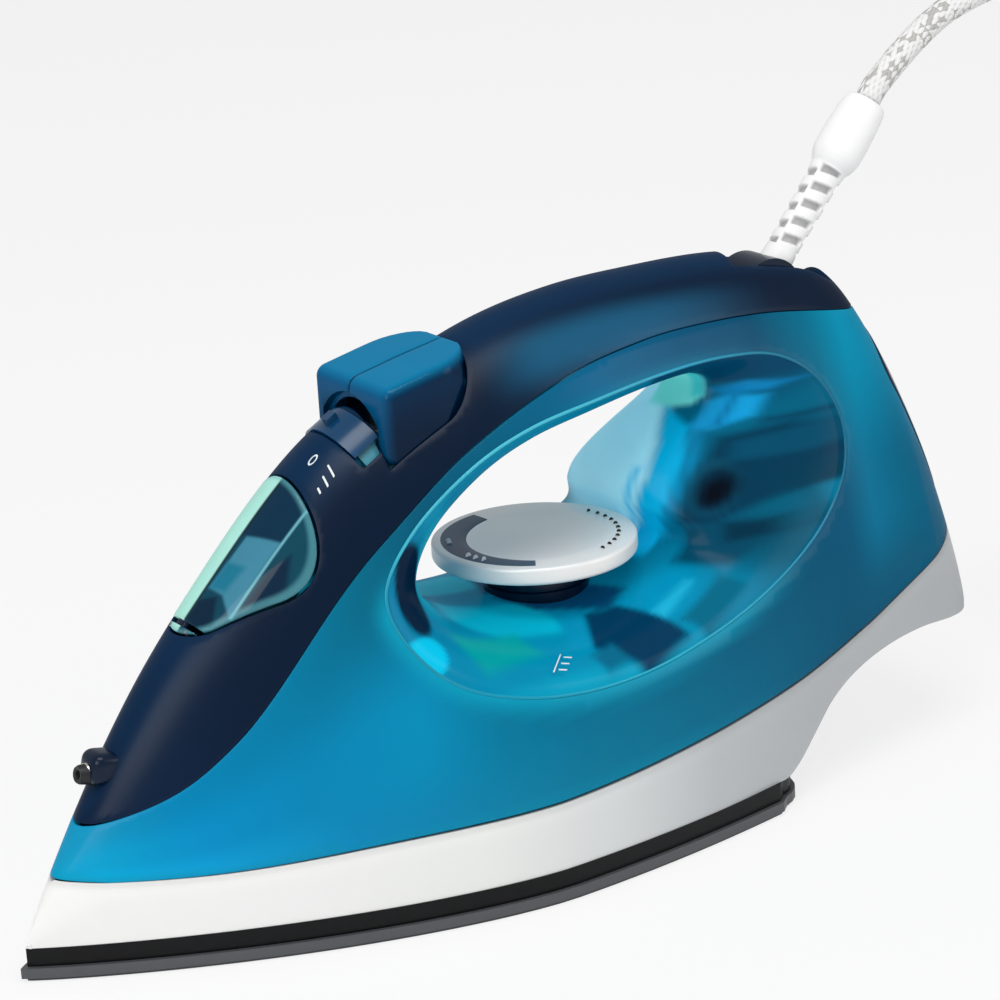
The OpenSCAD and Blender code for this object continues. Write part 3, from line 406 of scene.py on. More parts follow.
def skinPanel(name, outer, holes=(), thickness=2.0, gap=None, lift=None, rounding=None):
    # one moulding of the housing: loops in (x, level * girth); filled, given round edges and a wall
    gap = gap or housing["grid"]
    edge = housing["edgeRound"] if rounding is None else rounding
    loops = [closedEvenly(insetLoop(closedEvenly(outer, gap), edge), gap)]
    loops += [closedEvenly(insetLoop(closedEvenly(hole, gap * 0.7), -edge), gap * 0.7) for hole in holes]
    low, high = loops[0].min(0), loops[0].max(0)
    cols, rows = np.arange(low[0], high[0], gap), np.arange(low[1], high[1], gap * 0.87)
    field = np.array([(x + (k % 2) * gap / 2, y) for k, y in enumerate(rows) for x in cols])
    keep = insideLoop(field, loops[0])
    for hole in loops[1:]:
        keep &= ~insideLoop(field, hole)
    field = field[keep]
    border = np.vstack(loops)
    for chunk in np.array_split(border, max(len(border) // 60, 1)):
        near = np.linalg.norm(field[:, None] - chunk[None], axis=2).min(1)
        field = field[near > gap * 0.55]
    flat = np.vstack([border, field])
    edges, at = [], 0
    for loop in loops:
        n = len(loop)
        edges += [(at + i, at + (i + 1) % n) for i in range(n)]
        at += n
    found = delaunay_2d_cdt([Vector(p) for p in flat], edges, [], 0, 1e-5)
    flat = np.array([tuple(p) for p in found[0]])
    origin = {}
    for new, olds in enumerate(found[3]):
        for old in olds:
            origin[old] = new
    faces = np.array([f for f in found[2] if len(f) == 3])
    middle = flat[faces].mean(1)
    keep = insideLoop(middle, loops[0])
    for hole in loops[1:]:
        keep &= ~insideLoop(middle, hole)
    faces = faces[keep]
    a, b, c = flat[faces[:, 0]], flat[faces[:, 1]], flat[faces[:, 2]]
    turn = (b[:, 0] - a[:, 0]) * (c[:, 1] - a[:, 1]) - (b[:, 1] - a[:, 1]) * (c[:, 0] - a[:, 0])
    faces[turn < 0] = faces[turn < 0][:, ::-1]

    x, v = flat[:, 0], flat[:, 1] / girth
    skin, normal = onSkin(x, v), skinNormal(x, v)
    if lift is not None:
        skin = skin + normal * lift(skin)[:, None]
    n = len(flat)
    points = [skin, skin - normal * thickness]
    solid = [tuple(f) for f in faces] + [tuple(n + i for i in f[::-1]) for f in faces]
    at, top = 0, 2 * n
    for loop in loops:
        m = len(loop)
        ids = np.array([origin[at + i] for i in range(m)])
        at += m
        p, nrm = skin[ids], normal[ids]
        along = np.roll(p, -1, axis=0) - np.roll(p, 1, axis=0)
        away = np.cross(along, nrm)
        away /= np.maximum(np.linalg.norm(away, axis=1)[:, None], 1e-9)
        area = np.sum(loop[:, 0] * np.roll(loop[:, 1], -1) - np.roll(loop[:, 0], -1) * loop[:, 1])
        first = loop is loops[0]
        away = away * (1 if (area > 0) == first else -1)
        half = p + away * edge * 0.7 - nrm * edge * 0.3
        full = p + away * edge - nrm * edge
        foot = p + away * edge - nrm * thickness
        points += [half, full, foot]
        chain = [ids, top + np.arange(m), top + m + np.arange(m), top + 2 * m + np.arange(m), n + ids]
        top += 3 * m
        forward = (area > 0) == first
        for one, two in zip(chain, chain[1:]):
            for i in range(m):
                j = (i + 1) % m
                quad = (one[i], two[i], two[j], one[j])
                solid.append(quad if forward else quad[::-1])
    piece = meshPiece(name, np.vstack(points), solid)
    sharpen(piece, 50)
    return piece


# ---- housing mouldings ----
def crossingOf(line, low, high):
    # where a seam reaches the crest, found by halving
    def gap(x):
        return float(curve("topLine", x) - curve(line, x))

    rising = gap(low) < 0
    for _ in range(50):
        mid = (low + high) / 2
        if (gap(mid) < 0) == rising:
            low = mid
        else:
            high = mid
    return (low + high) / 2


def seamLoop(line, start, end, steps=150):
    # a seam that runs over the crest at both ends, as one closed loop round both flanks
    turn = np.pi * np.arange(steps + 1) / steps
    x = (start + end) / 2 - (end - start) / 2 * np.cos(turn)
    level = levelOf(x, curve(line, x))
    level[0] = level[-1] = 0
    near, far = np.stack([x, -level * girth], 1), np.stack([x, level * girth], 1)
    return np.vstack([near, far[-2:0:-1]])


crestStarts = {"skirt": crossingOf("skirtSeam", 5, 20), "cover": crossingOf("coverSeam", 14, 25)}
crestEnds = {"skirt": crossingOf("skirtSeam", 285, 299.5), "cover": crossingOf("coverSeam", 262, 280)}
skirtLoop = seamLoop("skirtSeam", crestStarts["skirt"], crestEnds["skirt"])
coverLoop = seamLoop("coverSeam", crestStarts["cover"], crestEnds["cover"])
rimPlan = smoothRun(housing["openingRim"], 20, closed=True)
innerPlan = smoothRun(housing["openingInner"], 20, closed=True)
rimLevel = levelOf(rimPlan[:, 0], rimPlan[:, 1]) * girth
rimNear, rimFar = np.stack([rimPlan[:, 0], -rimLevel], 1), np.stack([rimPlan[:, 0], rimLevel], 1)

heelPanel = {"halfWidth": 17, "low": 294.0, "high": 274.0, "round": 3.0, "gap": 0.45, "proud": 0.25,
             "wall": 2.0}


def heelPanelLoop(s, shrink=0.0):
    # a rounded patch on the heel's face, drawn on both sides of the crest
    a, b, r, half = s["high"] + shrink, s["low"] - shrink, s["round"], s["halfWidth"]
    opening, closing = np.linspace(0, math.pi / 2, 6), np.linspace(math.pi / 2, 0, 6)
    side = [(a + r * (1 - math.cos(q)), 1 - r / half * (1 - math.sin(q))) for q in opening]
    side += [(b - r * (1 - math.cos(q)), 1 - r / half * (1 - math.sin(q))) for q in closing]
    level = [(x, float(levelAcross(x, (half - shrink) * share)) * girth) for x, share in side]
    return np.array([(x, -v) for x, v in level] + [(x, v) for x, v in level[::-1]])


door = {"low": (49, 78.5173), "angle": 44.0984, "length": 52.92, "halfWidth": 19, "thickness": 1.8,
        "gap": 0.5,
        "smallRound": 10.5, "smallAt": 14.5}


def slopePoint(s, u, side):
    # the skin's (x, level) at u up the slope and side across it
    tilt = math.radians(s["angle"])
    u, side = np.asarray(u, float), np.asarray(side, float)
    x = s["low"][0] + u * math.cos(tilt)
    for _ in range(12):
        level = levelAcross(x, side)
        p = onSkin(x, level)
        miss = (p[..., 0] - s["low"][0]) * math.cos(tilt) + (p[..., 2] - s["low"][1]) * math.sin(tilt) - u
        x = x - miss * 0.7
    return np.stack([x, levelAcross(x, side) * girth], -1)


def doorPlan(s, grow):
    # the door's outline up the slope: a small round at the hinge, a large one at the top, straight sides
    small, large = s["smallRound"] + grow, s["halfWidth"] + grow
    a, b = s["smallAt"], s["length"] - s["halfWidth"] - 1
    lean = math.asin((large - small) / (b - a))
    upper = np.linspace(-math.pi / 2 - lean, math.pi / 2 + lean, 40)
    lower = np.linspace(math.pi / 2 + lean, 1.5 * math.pi - lean, 16)
    return np.array([(b + large * math.cos(q), large * math.sin(q)) for q in upper]
                    + [(a + small * math.cos(q), small * math.sin(q)) for q in lower])


def doorLoop(s, grow):
    plan = closedEvenly(doorPlan(s, grow), 2.0)
    return slopePoint(s, plan[:, 0], plan[:, 1])


control = {"low": 98, "high": 107, "radius": 15.4, "length": 8.6, "slotAngle": 74, "gap": 0.3}


def onCrest(x):
    return np.array([x, float(curve("topLine", x))])


controlLow, controlHigh = onCrest(control["low"]), onCrest(control["high"])
controlTilt = math.atan2(controlHigh[1] - controlLow[1], controlHigh[0] - controlLow[0])


def controlLoop(s, grow):
    # where the ring passes through the cover: a band across the crest
    plan = []
    half = s["length"] / 2 + grow
    reach = s["radius"] * math.sin(math.radians(s["slotAngle"]))
    for u in (-half, half):
        across = np.linspace(-reach, reach, 24)
        plan += [(u, a) for a in (across if u < 0 else across[::-1])]
    slope = {"low": tuple((controlLow + controlHigh) / 2), "angle": math.degrees(controlTilt)}
    plan = np.array(plan)
    return slopePoint(slope, plan[:, 0], plan[:, 1])


button = {"width": 17.6, "gap": 0.15, "play": 0.3, "front": 108.0, "rear": 138.1, "round": 12.0}


def wellHalf(s, x):
    # half the width of the buttons' well, narrowing round its rear corners
    past = np.clip(np.asarray(x, float) - (s["rear"] - s["round"]), 0, s["round"])
    return s["width"] + s["play"] - s["round"] + np.sqrt(s["round"] ** 2 - past ** 2)


def buttonLoop(s, grow):
    # the buttons' well in the cover
    x = s["rear"] - s["round"] * (1 - np.sin(np.linspace(0.0, 1.5, 14)))
    plan = [(s["front"] - grow, -s["width"] - s["play"] - grow)]
    plan += [(q + grow, -float(wellHalf(s, q)) - grow) for q in x]
    plan = np.array(plan + [(q, -y) for q, y in plan[::-1]])
    plan = closedEvenly(plan, 1.0)
    return np.stack([plan[:, 0], levelAcross(plan[:, 0], plan[:, 1]) * girth], 1)


swivelSlot = {"low": 229.2, "high": 263, "half": 7.0}


def slotLoop(low, high, half):
    # the slot in the cover that the swivel's relief leans in
    plan = closedEvenly([(low, -half), (high, -half), (high, half), (low, half)], 1.2)
    return np.stack([plan[:, 0], levelAcross(plan[:, 0], plan[:, 1]) * girth], 1)


def standProud(height):
    # a lift that raises a whole panel off the skin by one height
    return lambda p: np.full(len(p), height)


seam = housing["seamGap"] / 2
shellWall = 2.2
flankPanel = skinPanel("flankShell", insetLoop(skirtLoop, seam),
                       [insetLoop(coverLoop, -seam), rimNear, rimFar, heelPanelLoop(heelPanel)], shellWall)
print("flank shell", len(flankPanel.data.polygons))
coverPanel = skinPanel("topCover", insetLoop(coverLoop, seam),
                       [doorLoop(door, door["gap"]), controlLoop(control, control["gap"]),
                        buttonLoop(button, button["gap"]),
                        slotLoop(**swivelSlot)], shellWall)
print("top cover", len(coverPanel.data.polygons))
heelCover = skinPanel("heelCover", heelPanelLoop(heelPanel, heelPanel["gap"]), (), heelPanel["wall"], 1.5,
                      standProud(heelPanel["proud"]))


tunnelShape = {"bands": 60, "wall": 1.6, "hold": 1.9, "holdAlong": (160, 188), "holdBelow": (88, 112)}


def makeTunnel(s):
    # the wall of the handle opening, from rim to rim, as a thin closed moulding; on the far half
    # its rear wall holds back its flare, so it stands further forward than the near half's
    turns, bands = len(rimPlan), s["bands"]
    rings = []
    rimY = onSkin(rimPlan[:, 0], -rimLevel / girth)[:, 1]
    hold = easeStep(innerPlan[:, 0], *s["holdAlong"]) * (1 - easeStep(innerPlan[:, 1], *s["holdBelow"]))
    for a in np.linspace(-math.pi / 2, math.pi / 2, bands + 1):
        flare = np.full((turns, 1), 1 - math.cos(a)) ** np.where(a > 0, 1 + s["hold"] * hold[:, None], 1.0)
        plan = innerPlan + (rimPlan - innerPlan) * flare
        rings.append(np.stack([plan[:, 0], rimY * -math.sin(a), plan[:, 1]], 1))
    rings = np.array(rings)
    along = np.roll(rings, -1, axis=1) - np.roll(rings, 1, axis=1)
    across = np.gradient(rings, axis=0)
    normal = np.cross(along, across)
    normal /= np.maximum(np.linalg.norm(normal, axis=2)[:, :, None], 1e-9)
    middle = rings.mean(1, keepdims=True)
    if np.sum(normal * (rings - middle)) > 0:
        normal = -normal
    n = (bands + 1) * turns
    points = np.vstack([rings.reshape(-1, 3), (rings - normal * s["wall"]).reshape(-1, 3)])
    faces = gridFaces(bands + 1, turns, closeColumns=True)
    p0, p1, p2 = (points[i] for i in faces[10 * turns][:3])
    flip = np.dot(np.cross(p1 - p0, p2 - p0), normal[10, 0]) < 0
    faces = gridFaces(bands + 1, turns, closeColumns=True, flip=flip)
    faces += gridFaces(bands + 1, turns, start=n, closeColumns=True, flip=not flip)
    for row, turnedRound in ((0, flip), (bands, not flip)):
        for j in range(turns):
            k = (j + 1) % turns
            quad = (row * turns + j, n + row * turns + j, n + row * turns + k, row * turns + k)
            faces.append(quad if turnedRound else quad[::-1])
    return meshPiece("handleTunnel", points, faces)


tunnel = makeTunnel(tunnelShape)


def loopTube(name, loop3d, radius, sides=8):
    # a thin tube along a closed run of points
    p = np.asarray(loop3d, float)
    ahead = np.roll(p, -1, axis=0) - np.roll(p, 1, axis=0)
    ahead /= np.linalg.norm(ahead, axis=1)[:, None]
    side = np.cross(ahead, [0, 1, 0])
    side /= np.linalg.norm(side, axis=1)[:, None]
    up = np.cross(ahead, side)
    turn = 2 * math.pi * np.arange(sides) / sides
    cosine, sine = np.cos(turn)[None, :, None], np.sin(turn)[None, :, None]
    rings = p[:, None] + radius * (cosine * side[:, None] + sine * up[:, None])
    return meshPiece(name, rings.reshape(-1, 3), gridFaces(len(p), sides, closeRows=True, closeColumns=True))


# a thin bead just inside each rim, coloured as a painted highlight on the rim's rounded edge
rimBeadShape = {"radius": 0.5, "sunk": 0.3}
rimHighlights = []
for name, sideSign in (("rimHighlightNear", -1), ("rimHighlightFar", 1)):
    skin = onSkin(rimPlan[:, 0], sideSign * rimLevel / girth)
    sunk = skin + np.array([0, -sideSign * rimBeadShape["sunk"], 0])
    rimHighlights.append(loopTube(name, sunk, rimBeadShape["radius"]))


skirtShape = {"foot": 8.8, "rows": 16, "heelFrom": 211, "floorColumns": 9, "wall": 0.0016}


def makeSkirt(s):
    # the grey skirt: both flanks, closed at the nose and the tail, with a floor under the heel
    stations = np.r_[housing["noseAt"] + (12 - housing["noseAt"]) * np.linspace(0, 1, 26) ** 2,
                     np.arange(13.5, 292, 1.6), np.linspace(292, 300, 12)]
    rows = s["rows"]
    rings = []
    for x in stations:
        roof = float(curve("topLine", x))
        top = min(float(curve("skirtSeam", x)) - seam, roof - 0.01)
        foot = max(float(curve("underLine", x)), s["foot"])
        first = float(levelOf(x, foot))
        last = float(levelOf(x, top)) if top < roof - 0.02 else 0.0
        ladder = first + (last - first) * np.linspace(0, 1, rows) ** 0.9
        rings.append(onSkin(np.full(rows, x), -ladder))
    near = np.array(rings)
    points, faces = [], []
    for sideSign in (1, -1):
        part = near * [1, sideSign, 1]
        start = len(points)
        points.extend(part.reshape(-1, 3).tolist())
        faces += gridFaces(len(stations), rows, start=start, flip=sideSign < 0)
    # floor under the heel, edge to edge
    heel = [i for i, x in enumerate(stations) if x >= s["heelFrom"]]
    across = s["floorColumns"]
    base = len(points)
    for i in heel:
        a, b = near[i, 0], near[i, 0] * [1, -1, 1]
        for j in range(across):
            points.append((a + (b - a) * j / (across - 1)).tolist())
    faces += gridFaces(len(heel), across, start=base, flip=True)
    # tail cap
    base = len(points)
    last = near[-1]
    loop = np.vstack([last, (last * [1, -1, 1])[::-1]])
    centre = loop.mean(0) + [0.5, 0, 0]
    points.extend(loop.tolist() + [centre.tolist()])
    n = len(loop)
    faces += [(base + i, base + n, base + (i + 1) % n) for i in range(n)]
    piece = meshPiece("skirtShell", points, faces)
    tidyShell(piece)
    thick = piece.modifiers.new("wall", "SOLIDIFY")
    thick.thickness, thick.offset = s["wall"], -1
    applyModifiers(piece)
    return sharpen(piece, 40)


def tidyShell(piece, distance=0.00004):
    # points closer than the distance (in metres) become one, and every face looks outwards
    work = bmesh.new()
    work.from_mesh(piece.data)
    bmesh.ops.remove_doubles(work, verts=work.verts, dist=distance)
    bmesh.ops.recalc_face_normals(work, faces=work.faces)
    work.to_mesh(piece.data)
    work.free()
    piece.data.polygons.foreach_set("use_smooth", [True] * len(piece.data.polygons))


def applyModifiers(piece):
    graph = bpy.context.evaluated_depsgraph_get()
    mesh = bpy.data.meshes.new_from_object(piece.evaluated_get(graph))
    piece.modifiers.clear()
    piece.data = mesh


skirtShell = makeSkirt(skirtShape)
print("skirt", len(skirtShell.data.polygons))

# ---- smaller pieces ----
def turnedPiece(name, profile, centre, sides=72, tilt=0.0):
    # a lathed piece from (radius, height) points, upright and then leant by tilt degrees towards the heel
    turn = 2 * math.pi * np.arange(sides) / sides
    rings = np.array([[(r * math.cos(q), r * math.sin(q), z) for q in turn] for r, z in profile])
    lean = np.array(Matrix.Rotation(math.radians(tilt), 3, "Y"))
    points = rings.reshape(-1, 3) @ lean.T + np.asarray(centre, float)
    piece = meshPiece(name, points, gridFaces(len(profile), sides, closeColumns=True))
    tidyShell(piece, 0.00001)
    return sharpen(piece)


def roundBlock(name, size, centre, lean, bevel, segments=4):
    # a block with round edges, leant by lean degrees, its centre given
    work = bmesh.new()
    bmesh.ops.create_cube(work, size=1)
    bmesh.ops.scale(work, vec=Vector(size) / 1000, verts=work.verts)
    bmesh.ops.bevel(work, geom=work.edges[:], offset=bevel / 1000, segments=segments, profile=0.5,
                    affect="EDGES")
    bmesh.ops.rotate(work, cent=(0, 0, 0), matrix=Matrix.Rotation(math.radians(lean), 3, "Y"),
                     verts=work.verts)
    bmesh.ops.translate(work, vec=Vector(inFrame(centre)), verts=work.verts)
    mesh = bpy.data.meshes.new(name)
    work.to_mesh(mesh)
    work.free()
    mesh.polygons.foreach_set("use_smooth", [True] * len(mesh.polygons))
    piece = bpy.data.objects.new(name, mesh)
    bpy.context.scene.collection.objects.link(piece)
    return sharpen(piece, 50)


dial = {"centre": (163, 0), "radius": 28, "low": 75.6, "high": 80.6, "dish": 19.5, "dishDepth": 1.5, "hub": 8,
        "dots": 11, "dotArc": (-72, 14), "dotRadius": 23.0, "dotSize": 0.62}


def makeDial(s):
    r, z = s["radius"], s["high"]
    rim = [(0, 72.4), (s["hub"] - 0.3, 72.4), (s["hub"], 72.8), (s["hub"], s["low"]), (r - 2.2, s["low"])]
    under, over = np.linspace(0, 1.57, 6), np.linspace(0, 1.57, 7)
    rim += [(r - 1.6 + 1.6 * math.sin(q), s["low"] + 1.2 - 1.2 * math.cos(q)) for q in under]
    rim += [(r - 1.1 + 1.1 * math.cos(q), z - 1.0 + 1.0 * math.sin(q)) for q in over]
    rim += [(s["dish"] + 1.4, z), (s["dish"] + 0.6, z - 0.06)]
    dish = [(s["dish"] * k, z - s["dishDepth"] * (1 - k ** 2) ** 0.8 - 0.15) for k in np.linspace(1, 0, 12)]
    return turnedPiece("dialCap", rim + dish, (*s["centre"], 0), 96)


dialCap = makeDial(dial)
collarProfile = [(9.4, 62), (14.5, 62), (14.5, 68.6), (13.7, 68.9), (13.7, 69.7), (14.5, 70), (14.5, 74.2),
                 (14.1, 75), (13.3, 75.2), (9.4, 75.2), (9.4, 62)]
collarRing = turnedPiece("dialCollar", collarProfile, (*dial["centre"], 0), 80)


def buttonOutline(s, inset, across):
    # the cap's side view at one distance from the middle: hollow, arched over the ring, with an apron outside
    def top(x):
        return np.interp(x, *zip(*s["top"])) - inset

    front = s["front"] + inset
    corner = s["corner"]
    lean = math.atan2(s["top"][1][1] - s["top"][0][1], s["top"][1][0] - s["top"][0][0])
    middle = (s["front"] + corner, float(np.interp(s["front"] + corner,
                                                   *zip(*s["top"]))) - corner / math.cos(lean))
    r = max(corner - inset, 0.02)
    if across < s["apronFrom"]:
        rises = [math.sqrt(reach ** 2 - across ** 2) for reach in s["ringReach"]]
        foot, arch = (s["ringHeight"] + rise + s["travel"] for rise in rises)
        points = [(s["recess"], foot), (s["recess"], (foot + arch) / 2), (s["recess"], arch - 0.25),
                  (front, arch + 0.25),
                  (front, max((arch + middle[1]) / 2, arch + 0.3))]
        rear = s["underside"] + [(114.5, max(foot, 132.0) + 0.3), (113.4, foot)]
    else:
        foot = s["apron"][-1][1]
        points = [(front + 1.5, foot + 0.3), (front + 0.4, foot + 1.2), (front, foot + 2.8), (front, 126),
                  (front, 130)]
        rear = [(max(x, front + 1.7), z) for x, z in s["apron"]]
    corners = np.linspace(0, math.pi / 2 - lean, 9)
    points += [(middle[0] - r * math.cos(q), middle[1] + r * math.sin(q)) for q in corners]
    points += [(x, float(top(x))) for x in s["topStations"]]
    points += [(max(x, front), min(z, float(top(x)))) for x, z in smoothRun(rear, 5)]
    return np.array(points)


capShape = {"front": 108.0, "top": [(108.0, 136.0), (124, 139.2), (137.6, 141.4)], "corner": 3.4, "edge": 3.0,
            "innerEdge": 0.6,
            "apron": [(137.4, 141.2), (137.0, 136.0), (133.8, 129.2), (127.6, 123.4), (118.5, 118.4),
                      (111.4, 115.9)],
            "underside": [(137.4, 141.2), (137.0, 139.4), (133.6, 136.6), (127, 134.2)],
            "apronFrom": 13.4, "recess": 109.8, "ringHeight": 112.5, "ringReach": (14.3, 15.9), "travel": 3.9,
            "topStations": (115, 119, 123, 126, 128.5, 130.8, 132.8, 134.4, 135.6, 136.6)}


def makeButton(name, side, s):
    # one half of the split cap, layer by layer across, its front, top and outer edges round
    outer, inner = button["width"] + 0.15, 0.15
    layers = []
    for q in np.linspace(0, math.pi / 2, 5):
        layers.append((inner + s["innerEdge"] * (1 - math.cos(q)), s["innerEdge"] * (1 - math.sin(q))))
    layers += [(across, 0) for across in (3.0, 5.5, 8.0, 10.0, 11.6, s["apronFrom"] - 0.15, s["apronFrom"])]
    for q in np.linspace(0, math.pi / 2, 9):
        layers.append((outer - s["edge"] + s["edge"] * math.sin(q), s["edge"] * (1 - math.cos(q))))
    rings = []
    for across, inset in layers:
        plan = buttonOutline(s, inset, across)
        narrow = wellHalf(button, plan[:, 0] + 0.4) / wellHalf(button, 110.0)
        rings.append(np.stack([plan[:, 0], across * side * narrow, plan[:, 1]], 1))
    rings = np.array(rings)
    n = rings.shape[1]
    points = rings.reshape(-1, 3)
    faces = gridFaces(len(rings), n, closeColumns=True)
    faces += [tuple(range(n)), tuple(range((len(rings) - 1) * n, len(rings) * n))[::-1]]
    piece = meshPiece(name, points, faces)
    tidyShell(piece, 0.00002)
    return sharpen(piece, 42)


sprayCap = makeButton("sprayCap", -1, capShape)
steamCap = makeButton("steamCap", 1, capShape)
hinge = {"u": 7.4, "pin": (53.504, 81.629), "knuckle": 1.25, "halfWidth": 2.1}


def makeDoor():
    # the clear lid over the filling hole, cut straight along its hinge; the knuckle round its pin is a
    # separate block
    plan = closedEvenly(doorPlan(door, 0.0), 1.6)
    plan[:, 0] = np.maximum(plan[:, 0], hinge["u"])
    keep = np.linalg.norm(np.diff(np.vstack([plan, plan[:1]]), axis=0), axis=1) > 0.4
    plan = plan[keep]
    return skinPanel("fillingLid", slopePoint(door, plan[:, 0], plan[:, 1]), (), door["thickness"], 0.45,
                     standProud(0.2), 0.45)


fillingLid = makeDoor()


def makeLidFoot():
    # the fixed strip below the lid's lower edge, which the lid's pin crosses
    plan = doorPlan(door, -0.1)
    plan = closedEvenly(plan[plan[:, 0] < hinge["u"] - 0.5], 0.8)
    return skinPanel("lidFoot", slopePoint(door, plan[:, 0], plan[:, 1]), (), 1.4, 0.75, None, 0.25)


lidFoot = makeLidFoot()
knucklePin = roundBlock("lidKnuckle", (5.6, 2 * hinge["halfWidth"], 2 * hinge["knuckle"]),
                        (hinge["pin"][0] + 1.6, 0, hinge["pin"][1] + 1.3), -door["angle"], 1.0)
sprayNose = roundBlock("sprayNose", (11.5, 9.6, 8.6), (29.2, 0, 50.9), 12, 2.9, 6)
lipProfile = [(0, 0.4), (0.9, 0.4), (1.2, 1.6), (2.1, 1.9), (2.5, 1.2), (2.7, -1.2), (3.4, -3.0), (3.6, -5)]
sprayLip = turnedPiece("sprayLip", lipProfile, (22.8, 0, 50.5), 32, -78)

relief = {"start": 7.0, "end": 62.7, "slots": (14.5, 40.5), "pitch": 5.6, "depth": 1.25, "bore": 3.9,
          "profile": [  # distance from the swivel, radius
              (7, 4.3), (10, 4.7), (14, 4.5), (24, 4.6), (38, 4.9), (41, 5.3), (42.4, 6.1), (44, 6.7),
              (46, 7.05),
              (52, 7.0), (58, 6.65), (61.2, 6.3), (62.2, 5.9), (62.7, 5.5)]}


def makeRelief(s):
    # a ribbed sleeve with slots in two staggered rows
    reach = np.r_[np.arange(s["start"], 44, 0.32), np.linspace(44, s["end"], 34)]
    sides = 96
    turn = 2 * math.pi * np.arange(sides) / sides
    r, q = np.meshgrid(reach, turn, indexing="ij")
    inside = ((r > s["slots"][0]) & (r < s["slots"][1])).astype(float)
    depth = np.zeros_like(r)
    for row in range(4):
        middle = row * math.pi / 2 + 0.4
        away = np.abs((q - middle + math.pi) % (2 * math.pi) - math.pi)
        phase = (r - s["slots"][0]) / s["pitch"] + 0.5 * (row % 2) + 0.16 * np.sin(q - middle)
        along = np.abs(phase - np.round(phase)) * s["pitch"]
        depth = np.maximum(depth, (1 - easeStep(along, 0.85, 1.35)) * (1 - easeStep(away, 0.58, 0.74)))
    depth *= inside
    radius = np.interp(r, *zip(*s["profile"])) - s["depth"] * depth
    tilt = math.radians(lead["reliefAngle"])
    ahead = np.array([math.cos(tilt), 0, math.sin(tilt)])
    up = np.array([-math.sin(tilt), 0, math.cos(tilt)])
    across = np.array([0, 1, 0])
    middle = np.array([lead["swivel"][0], 0, lead["swivel"][1]])
    points = (middle + r[..., None] * ahead + (radius * np.cos(q))[..., None] * up
              + (radius * np.sin(q))[..., None] * across)
    mouth = [middle + s["end"] * ahead + s["bore"] * (math.cos(a) * up + math.sin(a) * across) for a in turn]
    throat = [middle + (s["end"] - 6) * ahead + (p - middle - s["end"] * ahead) for p in mouth]
    rows = len(reach)
    everything = np.vstack([points.reshape(-1, 3), mouth, throat, [middle + s["start"] * ahead]])
    faces = gridFaces(rows + 2, sides, closeColumns=True)
    foot = (rows + 2) * sides
    faces += [(foot, j, (j + 1) % sides) for j in range(sides)]
    piece = meshPiece("reliefSleeve", everything, faces)
    # painted shade: the rubber darkens the deeper a point sits in a slot, and inside the mouth and throat
    paintedSlotShade = np.r_[depth.ravel(), np.full(2 * sides, 0.6), 0.6]
    tintPiece(piece, np.array([1.0, 1.0, 1.0]) * (0.9 - 0.46 * paintedSlotShade[:, None]))
    tidyShell(piece, 0.000001)
    return sharpen(piece, 60)


def tintPiece(piece, colours):
    # a colour for each point, kept with the mesh
    rgba = np.c_[np.clip(colours, 0, 1), np.ones(len(colours))]
    layer = piece.data.color_attributes.new("tint", "FLOAT_COLOR", "POINT")
    layer.data.foreach_set("color", rgba.ravel())


reliefSleeve = makeRelief(relief)
print("small pieces ready")


# ---- repeated details, made by Geometry Nodes ----
def instanceTree(name, points, shape, material, sockets):
    # instances of one small shape on a set of points, realised and given their material
    tree = bpy.data.node_groups.new(name, "GeometryNodeTree")
    tree.interface.new_socket("Geometry", in_out="INPUT", socket_type="NodeSocketGeometry")
    given = {}
    for label, kind, value in sockets:
        socket = tree.interface.new_socket(label, in_out="INPUT", socket_type=kind)
        given[socket.identifier] = value
    tree.interface.new_socket("Geometry", in_out="OUTPUT", socket_type="NodeSocketGeometry")
    ins = addNode(tree, "NodeGroupInput").outputs
    spots = points(tree, ins).outputs
    place = addNode(tree, "GeometryNodeInstanceOnPoints", {
        "Points": spots["Points"], "Rotation": spots["Rotation"], "Instance": shape(tree, ins).outputs[0]})
    real = addNode(tree, "GeometryNodeRealizeInstances", {0: place.outputs[0]})
    painted = addNode(tree, "GeometryNodeSetMaterial", {"Geometry": real.outputs[0], "Material": material})
    addNode(tree, "NodeGroupOutput", {0: painted.outputs[0]})
    return tree, given


def grownPiece(name, tree, given, place):
    # evaluates a node tree into a plain mesh at its place
    piece = bpy.data.objects.new(name, bpy.data.meshes.new(name))
    bpy.context.scene.collection.objects.link(piece)
    grow = piece.modifiers.new("grow", "NODES")
    grow.node_group = tree
    for identifier, value in given.items():
        grow[identifier] = value
    applyModifiers(piece)
    piece.data.transform(place)
    return piece


def ringPoints(tree, ins):
    # points on an arc or a full ring in the XY plane, each turned to face outwards
    arc = addNode(tree, "GeometryNodeCurveArc", {
        "Resolution": 96, "Radius": ins["Ring radius"], "Start Angle": ins["Start angle"],
        "Sweep Angle": ins["Sweep"]}, mode="RADIUS")
    return addNode(tree, "GeometryNodeCurveToPoints", {"Curve": arc.outputs[0], "Count": ins["Count"]},
                   mode="COUNT")


def roundDot(tree, ins):
    return addNode(tree, "GeometryNodeMeshCylinder",
                   {"Vertices": 16, "Depth": 0.00022, "Radius": ins["Dot radius"]})


def joinParts(name, parts):
    with bpy.context.temp_override(active_object=parts[0], selected_editable_objects=parts):
        bpy.ops.object.join()
    parts[0].name = name
    return parts[0]


